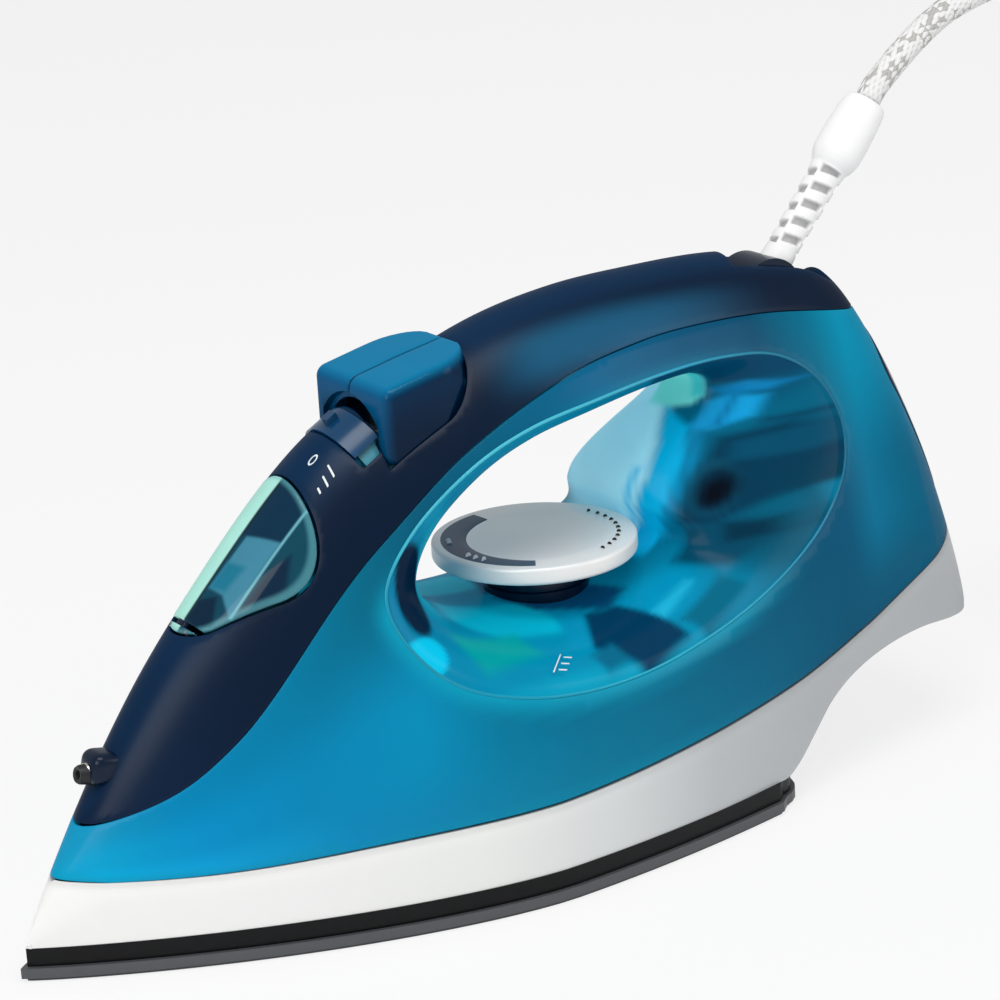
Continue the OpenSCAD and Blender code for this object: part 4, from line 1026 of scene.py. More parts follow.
def makeLevelMark():
    # a plain filling mark: a line with short ticks, standing just off the clear wall
    low, high = np.array([143.5, -38.2, 61.9]), np.array([137.5, -43.4, 60.1])
    off = np.array([2.2, -1.3, -0.3])
    runs = [(low, high)]
    for share in (0.15, 0.5, 0.85):
        foot = low + (high - low) * share
        runs.append((foot + off * 0.4, foot + off * 1.25))
    return joinParts("levelMark", [tubePiece("mark", evenly(run, 1.0), 0.2, 8) for run in runs])


levelMark = makeLevelMark()


coverMarkShape = {"ring": (93.0, -9.5), "radius": 1.5, "line": 0.5,
                  "bars": [(95.0, -19.0, 2.6), (92.8, -20.4, 2.2), (90.6, -21.2, 1.2)]}


def makeCoverMarks(s):
    # a plain ring and three short bars printed on the cover above the lid
    def printed(outer, holes=()):
        return skinPanel("mark", outer, holes, 0.2, 0.35, standProud(0.03), 0.04)

    (cx, cy), r, half = s["ring"], s["radius"], s["line"] / 2
    turn = np.linspace(0, 2 * math.pi, 28, endpoint=False)
    circle = np.stack([np.cos(turn), np.sin(turn)], 1)
    parts = [printed(circle * r + (cx, cy), [circle * (r - s["line"]) + (cx, cy)])]
    for x, y, reach in s["bars"]:
        low, high = y - reach, y + reach
        parts.append(printed([(x - half, low), (x + half, low), (x + half, high), (x - half, high)]))
    return joinParts("coverMarks", parts)


coverMarks = makeCoverMarks(coverMarkShape)

# ---- colours kept for each point: what shows through the clear mouldings, and painted light and shade on them and on the skirt, cover and caps ----
def linear(colour):
    c = np.asarray(colour, float) / 255
    return np.where(c <= 0.04045, c / 12.92, ((c + 0.055) / 1.055) ** 2.4)


def shadeRun(stops, x):
    # a run of colours along x, blended smoothly
    at = np.array([s[0] for s in stops], float)
    tone = np.array([linear(s[1]) for s in stops])
    return np.stack([np.interp(x, at, tone[:, k]) for k in range(3)], 1)


def pointsOf(piece):
    co = np.empty(len(piece.data.vertices) * 3)
    piece.data.vertices.foreach_get("co", co)
    return co.reshape(-1, 3) * 1000 + [noseToMiddle, 0, 0]


def fromLoop(x, z, loop):
    # distance from the nearest point of a loop, both in the same flat view
    out = np.full(len(x), 1e9)
    for px, pz in loop:
        out = np.minimum(out, (x - px) ** 2 + (z - pz) ** 2)
    return np.sqrt(out)


def addSpots(colours, points, spots):
    # soft patches painted one over another: middle, reach along each axis, colour, how soft the edge is
    for middle, reach, tone, soft in spots:
        away = np.sqrt((((points - middle) / reach) ** 2).sum(1))
        share = 1 - easeStep(away, 1 - soft, 1 + soft * 0.6)
        colours = colours + (linear(tone) - colours) * share[:, None]
    return colours


def insidePolygon(u, v, polygon, soft):
    # 1 inside, 0 outside, blended over the soft width
    p = np.array(polygon, float)
    inside = insideLoop(np.stack([u, v], 1), p)
    out = np.full(len(u), 1e9)
    for a, b in zip(p, np.roll(p, -1, axis=0)):
        ab = b - a
        t = np.clip(((u - a[0]) * ab[0] + (v - a[1]) * ab[1]) / np.dot(ab, ab), 0, 1)
        out = np.minimum(out, np.hypot(u - a[0] - t * ab[0], v - a[1] - t * ab[1]))
    return easeStep(np.where(inside, out, -out), -soft, soft)


# the flank's colours along the iron at three heights: the blue seen through the wall, with painted light and
# shade in it
flankShades = {
    "low": [(12, (6, 168, 212)), (45, (1, 152, 206)), (80, (2, 130, 178)), (120, (2, 122, 158)),
            (160, (0, 111, 143)),
            (200, (1, 98, 131)), (240, (1, 83, 115)), (270, (3, 88, 119)), (300, (0, 92, 124))],
    "middle": [(12, (10, 160, 202)), (45, (1, 136, 190)), (70, (2, 128, 174)), (100, (1, 136, 178)),
               (120, (2, 116, 150)),
               (150, (1, 102, 133)), (180, (0, 91, 122)), (200, (0, 86, 118)), (230, (1, 82, 114)),
               (246, (1, 84, 118)),
               (256, (2, 112, 148)), (270, (1, 100, 132)), (285, (2, 94, 128)), (300, (1, 98, 132))],
    "high": [(12, (20, 150, 190)), (40, (0, 128, 176)), (70, (1, 118, 156)), (92, (3, 100, 128)),
             (112, (4, 84, 112)),
             (140, (4, 92, 124)), (170, (5, 94, 134)), (200, (5, 80, 116)), (226, (2, 74, 106)),
             (246, (1, 108, 138)),
             (258, (1, 140, 174)), (272, (1, 132, 168)), (286, (1, 116, 152)), (300, (1, 110, 145))],
    # rimReflection is the colour of a painted reflection beside the opening's rim; rimReach is how far it
    # reaches
    "rimReflection": (8, 154, 184), "rimReach": 6.5,
}


def shadeFlank(piece, s):
    p = pointsOf(piece)
    x, z = p[:, 0], p[:, 2]
    low, high = curve("skirtSeam", x), np.minimum(curve("coverSeam", x), curve("topLine", x))
    share = np.clip((z - low) / np.maximum(high - low, 4), 0, 1)
    under = shadeRun(s["low"], x)
    middle = shadeRun(s["middle"], x)
    over = shadeRun(s["high"], x)
    a, b = easeStep(share, 0.04, 0.34)[:, None], easeStep(share, 0.42, 0.9)[:, None]
    tone = under + (middle - under) * a
    tone = tone + (over - tone) * b
    # painted reflection: a lighter band along the opening's rim, fading out near the cover seam and towards
    # the heel
    away = fromLoop(x, z, evenly(rimPlan, 0.6))
    lower = easeStep(curve("coverSeam", x) - z, 4, 16) * (1 - easeStep(x, 195, 236))
    glow = (1 - easeStep(away, -1.5, s["rimReach"])) * lower
    tone = tone + (linear(s["rimReflection"]) - tone) * glow[:, None]
    seamLine = 1 - easeStep(z - low, 0.3, 2.6)
    tone = tone + (linear((4, 140, 172)) - tone) * (seamLine * (1 - easeStep(x, 150, 240)) * 0.55)[:, None]
    tintPiece(piece, tone)


tunnelSpots = [  # middle, reach, colour, softness: broad patches of the clear wall, partly what shows through it and partly painted light and shade: darker towards the rear and its top, lighter by the rear rim
    ((160, -30, 62), (64, 34, 14), (1, 124, 158), 0.7),
    ((228, -30, 84), (24, 22, 26), (2, 82, 108), 0.6),
    ((229, -20, 117), (20, 6, 8), (3, 66, 96), 0.7),
    ((243, -29, 86), (6, 6, 14), (1, 104, 134), 0.8),
    ((216, -31, 74), (15, 8, 7), (2, 74, 98), 0.8),
    ((184, -29, 67), (13, 9, 7), (2, 130, 168), 0.7),
    ((116, -14, 92), (8, 13, 26), (22, 150, 176), 0.5),
    ((107, -28, 86), (6.2, 8.5, 13), (2, 28, 52), 0.14),
    ((104, -35.5, 70.2), (7.2, 9, 5.2), (0, 172, 206), 0.16),
    ((150, -46, 56), (56, 3.2, 8), (5, 140, 170), 0.9),
]
wallShades = [  # on the rear wall: outline as (across, height), colour, softness; mostly what shows through the wall
    # painted light: the far wall's pale face, which turns away from the lamps
    ([(40, 62), (40, 114), (6, 120), (-3, 109), (-8, 100), (-10, 92), (-8, 84), (-5, 76), (-5, 66)],
     (158, 222, 240), 3.0),
    ([(-3, 109), (-12, 104), (-15, 96), (-16, 87), (-14, 78), (-12, 66), (-5, 66), (-5, 76), (-8, 84),
      (-10, 92), (-8, 100)],
     (3, 160, 206), 1.1),
    ([(-2, 66), (-4, 78), (-6, 86), (-7, 94), (-5, 94), (-3, 84), (-1, 74)], (84, 186, 222), 1.2),
    ([(-12, 105), (-15, 96), (-16, 87), (-14, 76), (-15.4, 76), (-17.8, 87), (-17, 96), (-14, 105)],
     (6, 118, 160), 0.5),
    ([(-17.6, 101), (-24, 103), (-29, 97), (-30, 86), (-26, 79), (-19, 80)], (2, 50, 74), 1.6),
    ([(-20, 99.5), (-26, 101), (-28.6, 97), (-27, 94.4), (-21, 95)], (3, 66, 92), 0.8),
    ([(-28, 90), (-31, 92), (-31.5, 86), (-29, 84.5)], (1, 52, 74), 0.9),
    ([(-20, 79.5), (-29, 81), (-33.5, 75), (-33, 70), (-22, 71)], (2, 62, 86), 0.7),
    ([(-27, 80), (-31.5, 79.5), (-33, 76), (-29, 75.5)], (1, 42, 62), 0.5),
    ([(4, 108), (4, 121), (-9.4, 120), (-11.2, 111.6), (-9.6, 109.2), (-4, 108.2)], (108, 210, 206), 0.4),
    ([(-6, 121), (-9.4, 120), (-11.2, 111.6), (-8.6, 111)], (62, 190, 196), 0.8),
    ([(-12.2, 103.6), (-12.6, 110), (-16, 112), (-20.4, 110.6), (-20.4, 105.6), (-16, 103)], (16, 138, 190),
     0.45),
    ([(-15.8, 104), (-16.4, 111.6), (-17.2, 111.4), (-16.8, 104)], (6, 96, 142), 0.3),
    ([(-12.4, 113), (-18, 115.6), (-22, 113.6), (-20.6, 112), (-15, 111.6)], (8, 112, 162), 0.4),
    ([(-12, 114.6), (-22, 116), (-25, 125), (-10, 125)], (2, 60, 90), 0.9),
    ([(-21.5, 104.6), (-27, 104.6), (-27.5, 103.4), (-21.5, 103.2)], (2, 58, 82), 0.6),
]
# a boss seen through the wall: a painted highlight ring round it, then its darker body and core
bossShades = [((208, -21.5, 88.5), (9, 5.4, 8.6), (10, 70, 94), 0.3),
              ((209, -22, 88), (9, 4.2, 7.0), (2, 34, 54), 0.4),
              ((209, -22.4, 87.4), (8, 2.5, 4.4), (2, 8, 20), 0.6)]
floorShades = [  # on the floor: outline as (from the nose, across), colour, softness
    ([(124, -4), (152, -9), (154, -29), (134, -27), (118, -15)], (4, 158, 184), 2.4),
    # painted shadow of the dial's collar
    ([(147, -2), (171, -9), (178, -20), (169, -25), (152, -15)], (4, 66, 104), 1.3),
    ([(161, -24), (171, -25), (177, -34), (182, -43), (166, -47), (154, -38)], (2, 50, 80), 0.8),
    ([(154, -22), (161, -24), (154, -38), (148, -36)], (4, 128, 164), 0.6),
    ([(177, -33), (191, -29.5), (193, -31), (179, -36.5)], (28, 158, 192), 0.5),
    ([(182, -39), (200, -33.5), (206, -38), (188, -44)], (3, 92, 118), 0.9),
    ([(116, -28), (137, -26), (139, -36), (120, -39)], (3, 142, 144), 2.6),
    ([(152, -40), (160, -38), (162, -44), (154, -45)], (4, 92, 122), 1.0),
]


softestEdge = {"wall": 1.1, "floor": 1.5}  # a sharper edge than this shows the mesh's own steps


def shadeTunnel(piece, spots):
    p = pointsOf(piece)
    x, y, z = p.T
    side = -np.abs(y)
    # darker towards the rear as painted shade
    base = shadeRun([(96, (4, 110, 145)), (150, (2, 118, 150)), (200, (2, 92, 122)), (250, (1, 84, 112))], x)
    tone = addSpots(base, p, spots)
    tone += (addSpots(base, p * [1, -1, 1], spots) - tone) * easeStep(y, 8, 18)[:, None]
    far = y > 2
    rear = easeStep(x, np.where(far, 176.0, 186.0), np.where(far, 184.0, 190.0))
    rear = (rear * easeStep(z, np.where(far, 62.0, 69.0), np.where(far, 84.0, 72.0)))[:, None]
    mirrored = tone.copy()
    for outline, colour, soft in wallShades:
        for target, across in ((tone, y), (mirrored, side)):
            share = insidePolygon(across, z, outline, max(soft, softestEdge["wall"]))[:, None] * rear
            target += (linear(colour) - target) * share
    tone += (mirrored - tone) * easeStep(y, 20, 40)[:, None]
    tone = addSpots(tone, p, bossShades)
    floor = (1 - easeStep(z, 70, 74)) * easeStep(x, 112, 118)
    for outline, colour, soft in floorShades:
        tone += (linear(colour) - tone) * (insidePolygon(x, side, outline,
                                                         max(soft, softestEdge["floor"])) * floor)[:, None]
    tintPiece(piece, tone)


# painted highlight along the rims: lighter along the middle of the opening, darker towards the heel; upper
# stops blended over lower ones by height
rimHighlightShades = [(96, (10, 140, 168)), (104, (60, 178, 200)), (150, (70, 186, 206)), (196, (30, 150, 184)),
              (230, (4, 112, 142)),
              (250, (3, 104, 134))]


rimHighlightLowShades = [(96, (10, 140, 168)), (120, (8, 146, 176)), (170, (12, 166, 192)), (210, (10, 150, 182)),
                 (235, (6, 122, 158)), (250, (4, 110, 142))]


def paintRimHighlight(piece, stops, lowStops):
    p = pointsOf(piece)
    upper, lower = shadeRun(stops, p[:, 0]), shadeRun(lowStops, p[:, 0])
    share = easeStep(p[:, 2], 74, 96)[:, None]
    tintPiece(piece, lower + (upper - lower) * share)


# painted shade: the skirt's grey darkens from the nose towards the heel
skirtShades = [(0, (240, 240, 238)), (60, (238, 238, 236)), (110, (232, 233, 230)), (150, (214, 217, 217)),
               (185, (186, 190, 192)), (225, (176, 180, 182)), (300, (176, 180, 183))]


def shadeSkirt(piece, stops):
    p = pointsOf(piece)
    # a little darker just below the seam
    seamLine = 1 - easeStep(curve("skirtSeam", p[:, 0]) - p[:, 2], 0.4, 2.4)
    tintPiece(piece, shadeRun(stops, p[:, 0]) * (1 - 0.16 * seamLine[:, None]))


doorShades = {  # regions up the slope and across, near half; each is a polygon of (u, across)
    "clear": (5, 74, 98), "regions": [
        ([(4, -1), (4, -20), (52, -20), (52, -1)], (5, 62, 82), 1.2),
        ([(50, -1.4), (50, -12), (37, -12), (34, -4), (34, -1.4)], (1, 44, 68), 0.8),
        ([(46, -11.6), (52, -10), (48, -19), (40, -20), (16, -17), (14, -11), (37, -12)], (6, 66, 84), 0.6),
        ([(36, -14.5), (28, -17), (16, -14.5), (15, -12), (30, -12.6)], (3, 36, 60), 0.8),
        ([(34, -3.4), (37, -11.5), (14, -11), (18, -7), (18, -2.6)], (62, 128, 152), 0.5),
        ([(26, -3), (27, -8), (19, -7), (18, -2.6)], (24, 112, 138), 1.0),
        ([(14, -2), (17, -6), (10, -9), (7.4, -5), (8, -2)], (2, 34, 56), 0.7),
        ([(38.4, -11.6), (50, -11.8), (50, -12.3), (14, -11.5), (14, -10.9)], (110, 176, 190), 0.25),
    ],
    # the strip is a painted highlight along the lid
    "highlightStrip": (168, 226, 214), "stripEdge": 1.3, "edgeLine": (96, 168, 178),
}


def shadeDoor(piece, s):
    p = pointsOf(piece)
    tilt = math.radians(door["angle"])
    u = (p[:, 0] - door["low"][0]) * math.cos(tilt) + (p[:, 2] - door["low"][1]) * math.sin(tilt)
    side = p[:, 1]
    tone = np.tile(linear(s["clear"]), (len(p), 1))
    for polygon, colour, soft in s["regions"]:
        share = np.maximum(insidePolygon(u, side, polygon, soft), insidePolygon(u, -side, polygon, soft))
        tone = tone + (linear(colour) - tone) * share[:, None]
    # painted highlight: a light strip across the lid, with a darker line at its edge
    highlightStrip = easeStep(side, -s["stripEdge"] - 0.4, -s["stripEdge"] + 0.2) * (1 - easeStep(side, 9, 13))
    gloom = 1 - 0.75 * (1 - easeStep(np.abs(side + s["stripEdge"] + 0.2), 0.15, 0.7))
    tone = tone + (linear(s["highlightStrip"]) - tone) * highlightStrip[:, None]
    tone = tone * gloom[:, None]
    plan = closedEvenly(doorPlan(door, 0.0), 1.0)
    edge = fromLoop(u, side, closedEvenly(plan, 0.4))
    tone = tone + (linear(s["edgeLine"]) - tone) * ((1 - easeStep(edge, 0.7, 1.9)) * 0.45)[:, None]
    tintPiece(piece, tone)


# painted light and shade on the navy cover: lighter on top, a painted highlight streak along its flank, and a
# lighter front
coverShades = {"side": (0, 22, 47), "top": (1, 40, 72), "front": (0, 30, 60), "highlightStreak": (24, 92, 128),
               "highlightStreakAt": 0.30, "highlightStreakHalf": 0.13}


def shadeCover(piece, s):
    p = pointsOf(piece)
    low, high = curve("coverSeam", p[:, 0]), curve("topLine", p[:, 0])
    share = np.clip((p[:, 2] - low) / np.maximum(high - low, 3), 0, 1)
    # lighter towards the top as painted light
    tone = linear(s["side"]) + (linear(s["top"]) - linear(s["side"])) * easeStep(share, 0.55, 1.0)[:, None]
    front = 1 - easeStep(p[:, 0], 30, 70)
    level = np.abs(levelOf(p[:, 0], p[:, 2]))
    # painted highlight streak on the flank near the crest, from x 136 to 240
    highlightStreak = (1 - easeStep(np.abs(level - s["highlightStreakAt"] - 0.0006 * (p[:, 0] - 180)), 0.02, s["highlightStreakHalf"]))
    highlightStreak *= easeStep(p[:, 0], 136, 160) * (1 - easeStep(p[:, 0], 190, 240)) * 0.8
    tone = tone + (linear(s["highlightStreak"]) - tone) * highlightStreak[:, None]
    # painted highlight: a lighter front
    tone = tone + (linear(s["front"]) - tone) * front[:, None] * 0.6
    tintPiece(piece, tone)


# painted light and shade on the button caps: lightest where they face up, then forward, darkest on the sides
# and darker still low down
capShades = {"top": (4, 120, 164), "front": (3, 84, 130), "side": (1, 40, 72), "sideFoot": (1, 26, 52)}


def shadeCap(piece, s):
    p = pointsOf(piece)
    normal = np.array([v.normal for v in piece.data.vertices])
    # colour by which way each point faces: painted light from above and the front
    weights = np.stack([np.clip(normal[:, 2], 0, 1), np.clip(-normal[:, 0], 0, 1), np.abs(normal[:, 1])],
                       1) ** 2
    weights /= np.maximum(weights.sum(1, keepdims=True), 1e-6)
    drop = easeStep(136 - p[:, 2], 0, 14)[:, None]
    flank = linear(s["side"]) * (1 - drop) + linear(s["sideFoot"]) * drop
    top, front, side = (weights[:, k:k + 1] for k in range(3))
    tone = top * linear(s["top"]) + front * linear(s["front"]) * (1 - 0.35 * drop) + side * flank
    tintPiece(piece, tone)


for cap in (sprayCap, steamCap):
    shadeCap(cap, capShades)
shadeFlank(flankPanel, flankShades)
shadeTunnel(tunnel, tunnelSpots)
shadeSkirt(skirtShell, skirtShades)
# painted highlight on the rim beads
for highlightBead in rimHighlights:
    paintRimHighlight(highlightBead, rimHighlightShades, rimHighlightLowShades)
for lidPart in (lidFoot, fillingLid):
    shadeDoor(lidPart, doorShades)
shadeCover(coverPanel, coverShades)
print("shades laid")

# ---- finishes ----
def newTree(name, ins, outs):
    # an empty shader group with its sockets, and what its two end nodes offer and take
    tree = bpy.data.node_groups.new(name, "ShaderNodeTree")
    for label, kind, value in ins:
        tree.interface.new_socket(label, in_out="INPUT", socket_type=kind).default_value = value
    for label, kind in outs:
        tree.interface.new_socket(label, in_out="OUTPUT", socket_type=kind)
    return tree, addNode(tree, "NodeGroupInput").outputs, addNode(tree, "NodeGroupOutput").inputs


def mathNode(tree, operation, *values, clamp=False):
    return addNode(tree, "ShaderNodeMath", dict(enumerate(values)), operation=operation,
                   use_clamp=clamp).outputs[0]


def noiseNode(tree, vector, scale, detail=3.0):
    return addNode(tree, "ShaderNodeTexNoise", {"Vector": vector, "Scale": scale,
                                                "Detail": detail}).outputs[0]


def scaled(tree, colour, gain):
    return addNode(tree, "ShaderNodeVectorMath", {0: colour, "Scale": gain}, operation="SCALE").outputs[0]


def mixed(tree, share, colour, ink):
    # the ink over the colour wherever the share is 1
    values = {0: share, 6: colour, 7: (*linear(ink), 1)}
    return addNode(tree, "ShaderNodeMix", values, data_type="RGBA").outputs[2]


def makeMouldedGroup():
    # slow changes of tone, a fine grain, and a roughness that wanders a little
    tree, ins, outs = newTree(
        "mouldedSurface",
        [("Colour", "NodeSocketColor", (0.5, 0.5, 0.5, 1)), ("Tone change", "NodeSocketFloat", 0.06),
         ("Roughness", "NodeSocketFloat", 0.3), ("Roughness change", "NodeSocketFloat", 0.08),
         ("Patches per metre", "NodeSocketFloat", 45.0), ("Grains per metre", "NodeSocketFloat", 2600.0),
         ("Stretch", "NodeSocketVector", (1, 1, 1))],
        [("Colour", "NodeSocketColor"), ("Roughness", "NodeSocketFloat"), ("Height", "NodeSocketFloat")])
    calc = partial(mathNode, tree)
    where = addNode(tree, "ShaderNodeTexCoord").outputs["Object"]
    stretched = addNode(tree, "ShaderNodeVectorMath", {0: where, 1: ins["Stretch"]},
                        operation="MULTIPLY").outputs[0]
    fine = noiseNode(tree, stretched, ins["Grains per metre"], 2.0)
    swing = calc("SUBTRACT", noiseNode(tree, where, ins["Patches per metre"]), 0.5)
    gain = calc("ADD", calc("MULTIPLY", swing, ins["Tone change"]), 1.0)
    wander = calc("MULTIPLY", calc("SUBTRACT", fine, 0.5), ins["Roughness change"])
    both = calc("ADD", wander, calc("MULTIPLY", swing, ins["Roughness change"]))
    tree.links.new(scaled(tree, ins["Colour"], gain), outs["Colour"])
    tree.links.new(calc("ADD", both, ins["Roughness"], clamp=True), outs["Roughness"])
    tree.links.new(fine, outs["Height"])
    return tree


mouldedGroup = makeMouldedGroup()
plainFinish = {"metal": 0.0, "specular": 0.5, "coat": 0.0, "coatRough": 0.2, "tone": 0.06, "rough": 0.3,
               "roughChange": 0.08, "patches": 45.0, "grains": 2600.0, "stretch": (1, 1, 1), "bump": 0.1,
               "bumpDepth": 0.00004}


def startMaterial(name, look):
    # the shader with its plain values, and the moulded surface group feeding what varies
    s = {**plainFinish, **look}
    material = bpy.data.materials.new(name)
    tree = emptyTree(material)
    if s.get("tint"):
        colour = addNode(tree, "ShaderNodeAttribute", attribute_name="tint").outputs["Color"]
    else:
        colour = (*linear(s["colour"]), 1)
    surface = addNode(tree, "ShaderNodeGroup", node_tree=mouldedGroup, values={
        "Colour": colour, "Tone change": s["tone"], "Roughness": s["rough"],
        "Roughness change": s["roughChange"],
        "Patches per metre": s["patches"], "Grains per metre": s["grains"], "Stretch": s["stretch"]}).outputs
    bump = addNode(tree, "ShaderNodeBump", {
        "Strength": s["bump"], "Distance": s["bumpDepth"], "Height": surface["Height"]})
    shader = addNode(tree, "ShaderNodeBsdfPrincipled", {
        "Base Color": surface["Colour"], "Roughness": surface["Roughness"], "Normal": bump.outputs[0],
        "Metallic": s["metal"], "Specular IOR Level": s["specular"], "Coat Weight": s["coat"],
        "Coat Roughness": s["coatRough"]})
    # a glow is painted light: the surface's own colour given off as light
    if "glow" in s:
        tree.links.new(surface["Colour"], shader.inputs["Emission Color"])
        shader.inputs["Emission Strength"].default_value = s["glow"]
    addNode(tree, "ShaderNodeOutputMaterial", {0: shader.outputs[0]})
    return material, tree, shader, surface, bump


finishes = {
    "clearFlank": {"tint": True, "rough": 0.24, "specular": 0.0, "coat": 0.2, "tone": 0.10, "patches": 28,
                   "bump": 0.03},
    # painted light: the opening's wall gives off its own colour, standing in for light through the clear
    # plastic
    "clearTunnel": {"tint": True, "glow": 0.28, "rough": 0.26, "specular": 0.0, "coat": 0.14, "tone": 0.16,
                    "patches": 70, "bump": 0.03},
    "clearLid": {"tint": True, "rough": 0.10, "specular": 0.0, "coat": 0.4, "coatRough": 0.06, "tone": 0.12,
                 "patches": 120, "bump": 0.02},
    "navyCover": {"tint": True, "rough": 0.24, "specular": 0.0, "coat": 0.3, "coatRough": 0.3, "tone": 0.16,
                  "patches": 40,
                  "bump": 0.05},
    "greySkirt": {"tint": True, "rough": 0.34, "specular": 0.35, "tone": 0.035, "patches": 30, "bump": 0.10},
    "navyPart": {"colour": (1, 22, 46), "rough": 0.24, "specular": 0.14, "coat": 0.2, "tone": 0.2,
                 "bump": 0.05},
    "tealPart": {"tint": True, "rough": 0.30, "specular": 0.0, "coat": 0.22, "coatRough": 0.14, "tone": 0.12,
                 "bump": 0.05},
    "ringPart": {"colour": (4, 60, 98), "rough": 0.2, "specular": 0.2, "coat": 0.4, "tone": 0.2,
                 "bump": 0.04},
    "scalePart": {"colour": (84, 168, 188), "rough": 0.14, "specular": 0.4, "coat": 0.4, "tone": 0.2,
                  "bump": 0.03},
    "rimPlastic": {"tint": True, "rough": 0.15, "specular": 0.2, "coat": 0.2, "tone": 0.25, "patches": 60,
                   "bump": 0.02},
    "reliefRubber": {"tint": True, "rough": 0.5, "specular": 0.35, "tone": 0.05, "bump": 0.15},
    "sole_coating": {"colour": (80, 82, 85), "rough": 0.38, "metal": 0.25, "tone": 0.12, "grains": 1800,
                     "bump": 0.12},
    "cast_alloy": {"colour": (176, 178, 180), "rough": 0.5, "metal": 0.9, "tone": 0.15, "grains": 900,
                   "bump": 0.4},
    "steel": {"colour": (176, 177, 180), "rough": 0.3, "metal": 1.0, "tone": 0.08, "stretch": (0.05, 1, 1),
              "bump": 0.12},
    "element_sheath": {"colour": (120, 119, 118), "rough": 0.45, "metal": 0.85, "tone": 0.3, "bump": 0.2},
    "terminal_metal": {"colour": (212, 208, 196), "rough": 0.2, "metal": 1.0, "tone": 0.06, "bump": 0.06},
    "ceramic": {"colour": (226, 221, 208), "rough": 0.6, "tone": 0.08, "grains": 1500, "bump": 0.3},
    "black_plastic": {"colour": (6, 7, 9), "rough": 0.32, "specular": 0.2, "tone": 0.3, "bump": 0.1},
    "grey_plastic": {"colour": (206, 209, 212), "rough": 0.34, "tone": 0.04, "bump": 0.1},
    "blue_clear": {"colour": (2, 110, 150), "rough": 0.16, "tone": 0.1, "bump": 0.03},
    "tank_clear": {"colour": (40, 150, 185), "rough": 0.2, "tone": 0.12, "bump": 0.05},
    "black_rubber": {"colour": (22, 22, 22), "rough": 0.7, "tone": 0.2, "bump": 0.3},
    "teal_clear": {"colour": (20, 110, 130), "rough": 0.14, "tone": 0.15, "bump": 0.03},
    "white_plastic": {"colour": (228, 228, 226), "rough": 0.38, "tone": 0.04, "bump": 0.12},
    "clear_tube": {"colour": (196, 206, 206), "rough": 0.25, "tone": 0.06, "bump": 0.05},
    "lamp_lens": {"colour": (150, 60, 20), "rough": 0.1, "coat": 0.5, "tone": 0.15, "bump": 0.02},
    "lamp_glow": {"colour": (196, 96, 40), "rough": 0.3, "tone": 0.1, "bump": 0.05},
    "wire_sleeve": {"colour": (188, 182, 170), "rough": 0.6, "tone": 0.2, "grains": 1200, "bump": 0.4},
    "printBlack": {"colour": (14, 16, 20), "rough": 0.5, "tone": 0.2, "bump": 0.05},
    "printWhite": {"colour": (226, 232, 236), "rough": 0.45, "tone": 0.05, "bump": 0.05},
}
made = {name: startMaterial(name, s)[0] for name, s in finishes.items()}


dialPrint = {"centre": (0.013, 0.0), "top": 0.0801, "outer": 0.0254, "inner": 0.0205,
             "shift": (0.0026, -0.0017),
             "ring": 0.0010, "start": math.radians(96), "end": math.radians(236), "ink": (12, 70, 98),
             "lacquer": {"colour": (238, 238, 236), "rough": 0.34, "metal": 0.12, "specular": 0.3,
                         "tone": 0.05,
                         "patches": 60, "bump": 0.06}}


def makeDialFinish(s):
    # warm silver lacquer with a printed crescent on one side of the dial's top
    material, tree, shader, surface, bump = startMaterial("silverDial", s["lacquer"])
    calc = partial(mathNode, tree)
    where = addNode(tree, "ShaderNodeTexCoord").outputs["Object"]
    split = addNode(tree, "ShaderNodeSeparateXYZ", {0: where}).outputs
    x, y = (calc("SUBTRACT", split[i], s["centre"][i]) for i in (0, 1))

    def radiusFrom(dx, dy):
        a, b = calc("SUBTRACT", x, dx), calc("SUBTRACT", y, dy)
        return calc("SQRT", calc("ADD", calc("MULTIPLY", a, a), calc("MULTIPLY", b, b)))

    outer = calc("LESS_THAN", radiusFrom(0.0, 0.0), s["outer"])
    inner = calc("LESS_THAN", radiusFrom(*s["shift"]), s["inner"] + s["ring"])
    around = calc("MODULO", calc("ADD", calc("ARCTAN2", y, x), 2 * math.pi), 2 * math.pi)
    turnMask = calc("MULTIPLY", calc("GREATER_THAN", around, s["start"]), calc("LESS_THAN", around, s["end"]))
    topMask = calc("GREATER_THAN", split[2], s["top"])
    ringMask = calc("MULTIPLY", outer, calc("SUBTRACT", 1.0, inner))
    crescent = calc("MULTIPLY", ringMask, calc("MULTIPLY", turnMask, topMask))
    tree.links.new(mixed(tree, crescent, surface["Colour"], s["ink"]), shader.inputs["Base Color"])
    metal = calc("MULTIPLY", calc("SUBTRACT", 1.0, crescent), s["lacquer"]["metal"])
    tree.links.new(metal, shader.inputs["Metallic"])
    return material


# shade and deepest set the painted shade between the strands
cordWeave = {"strands": 14.0, "pitch": 150.0, "fleck": (186, 184, 181), "fleckShare": 0.66, "patch": 0.23,
             "patchShare": 0.47, "underStrand": 0.85, "shade": 0.16, "deepest": 0.84,
             "yarn": {"colour": (234, 234, 233), "rough": 0.72, "specular": 0.3, "tone": 0.06, "patches": 160,
                      "bumpDepth": 0.00035, "bump": 0.8}}


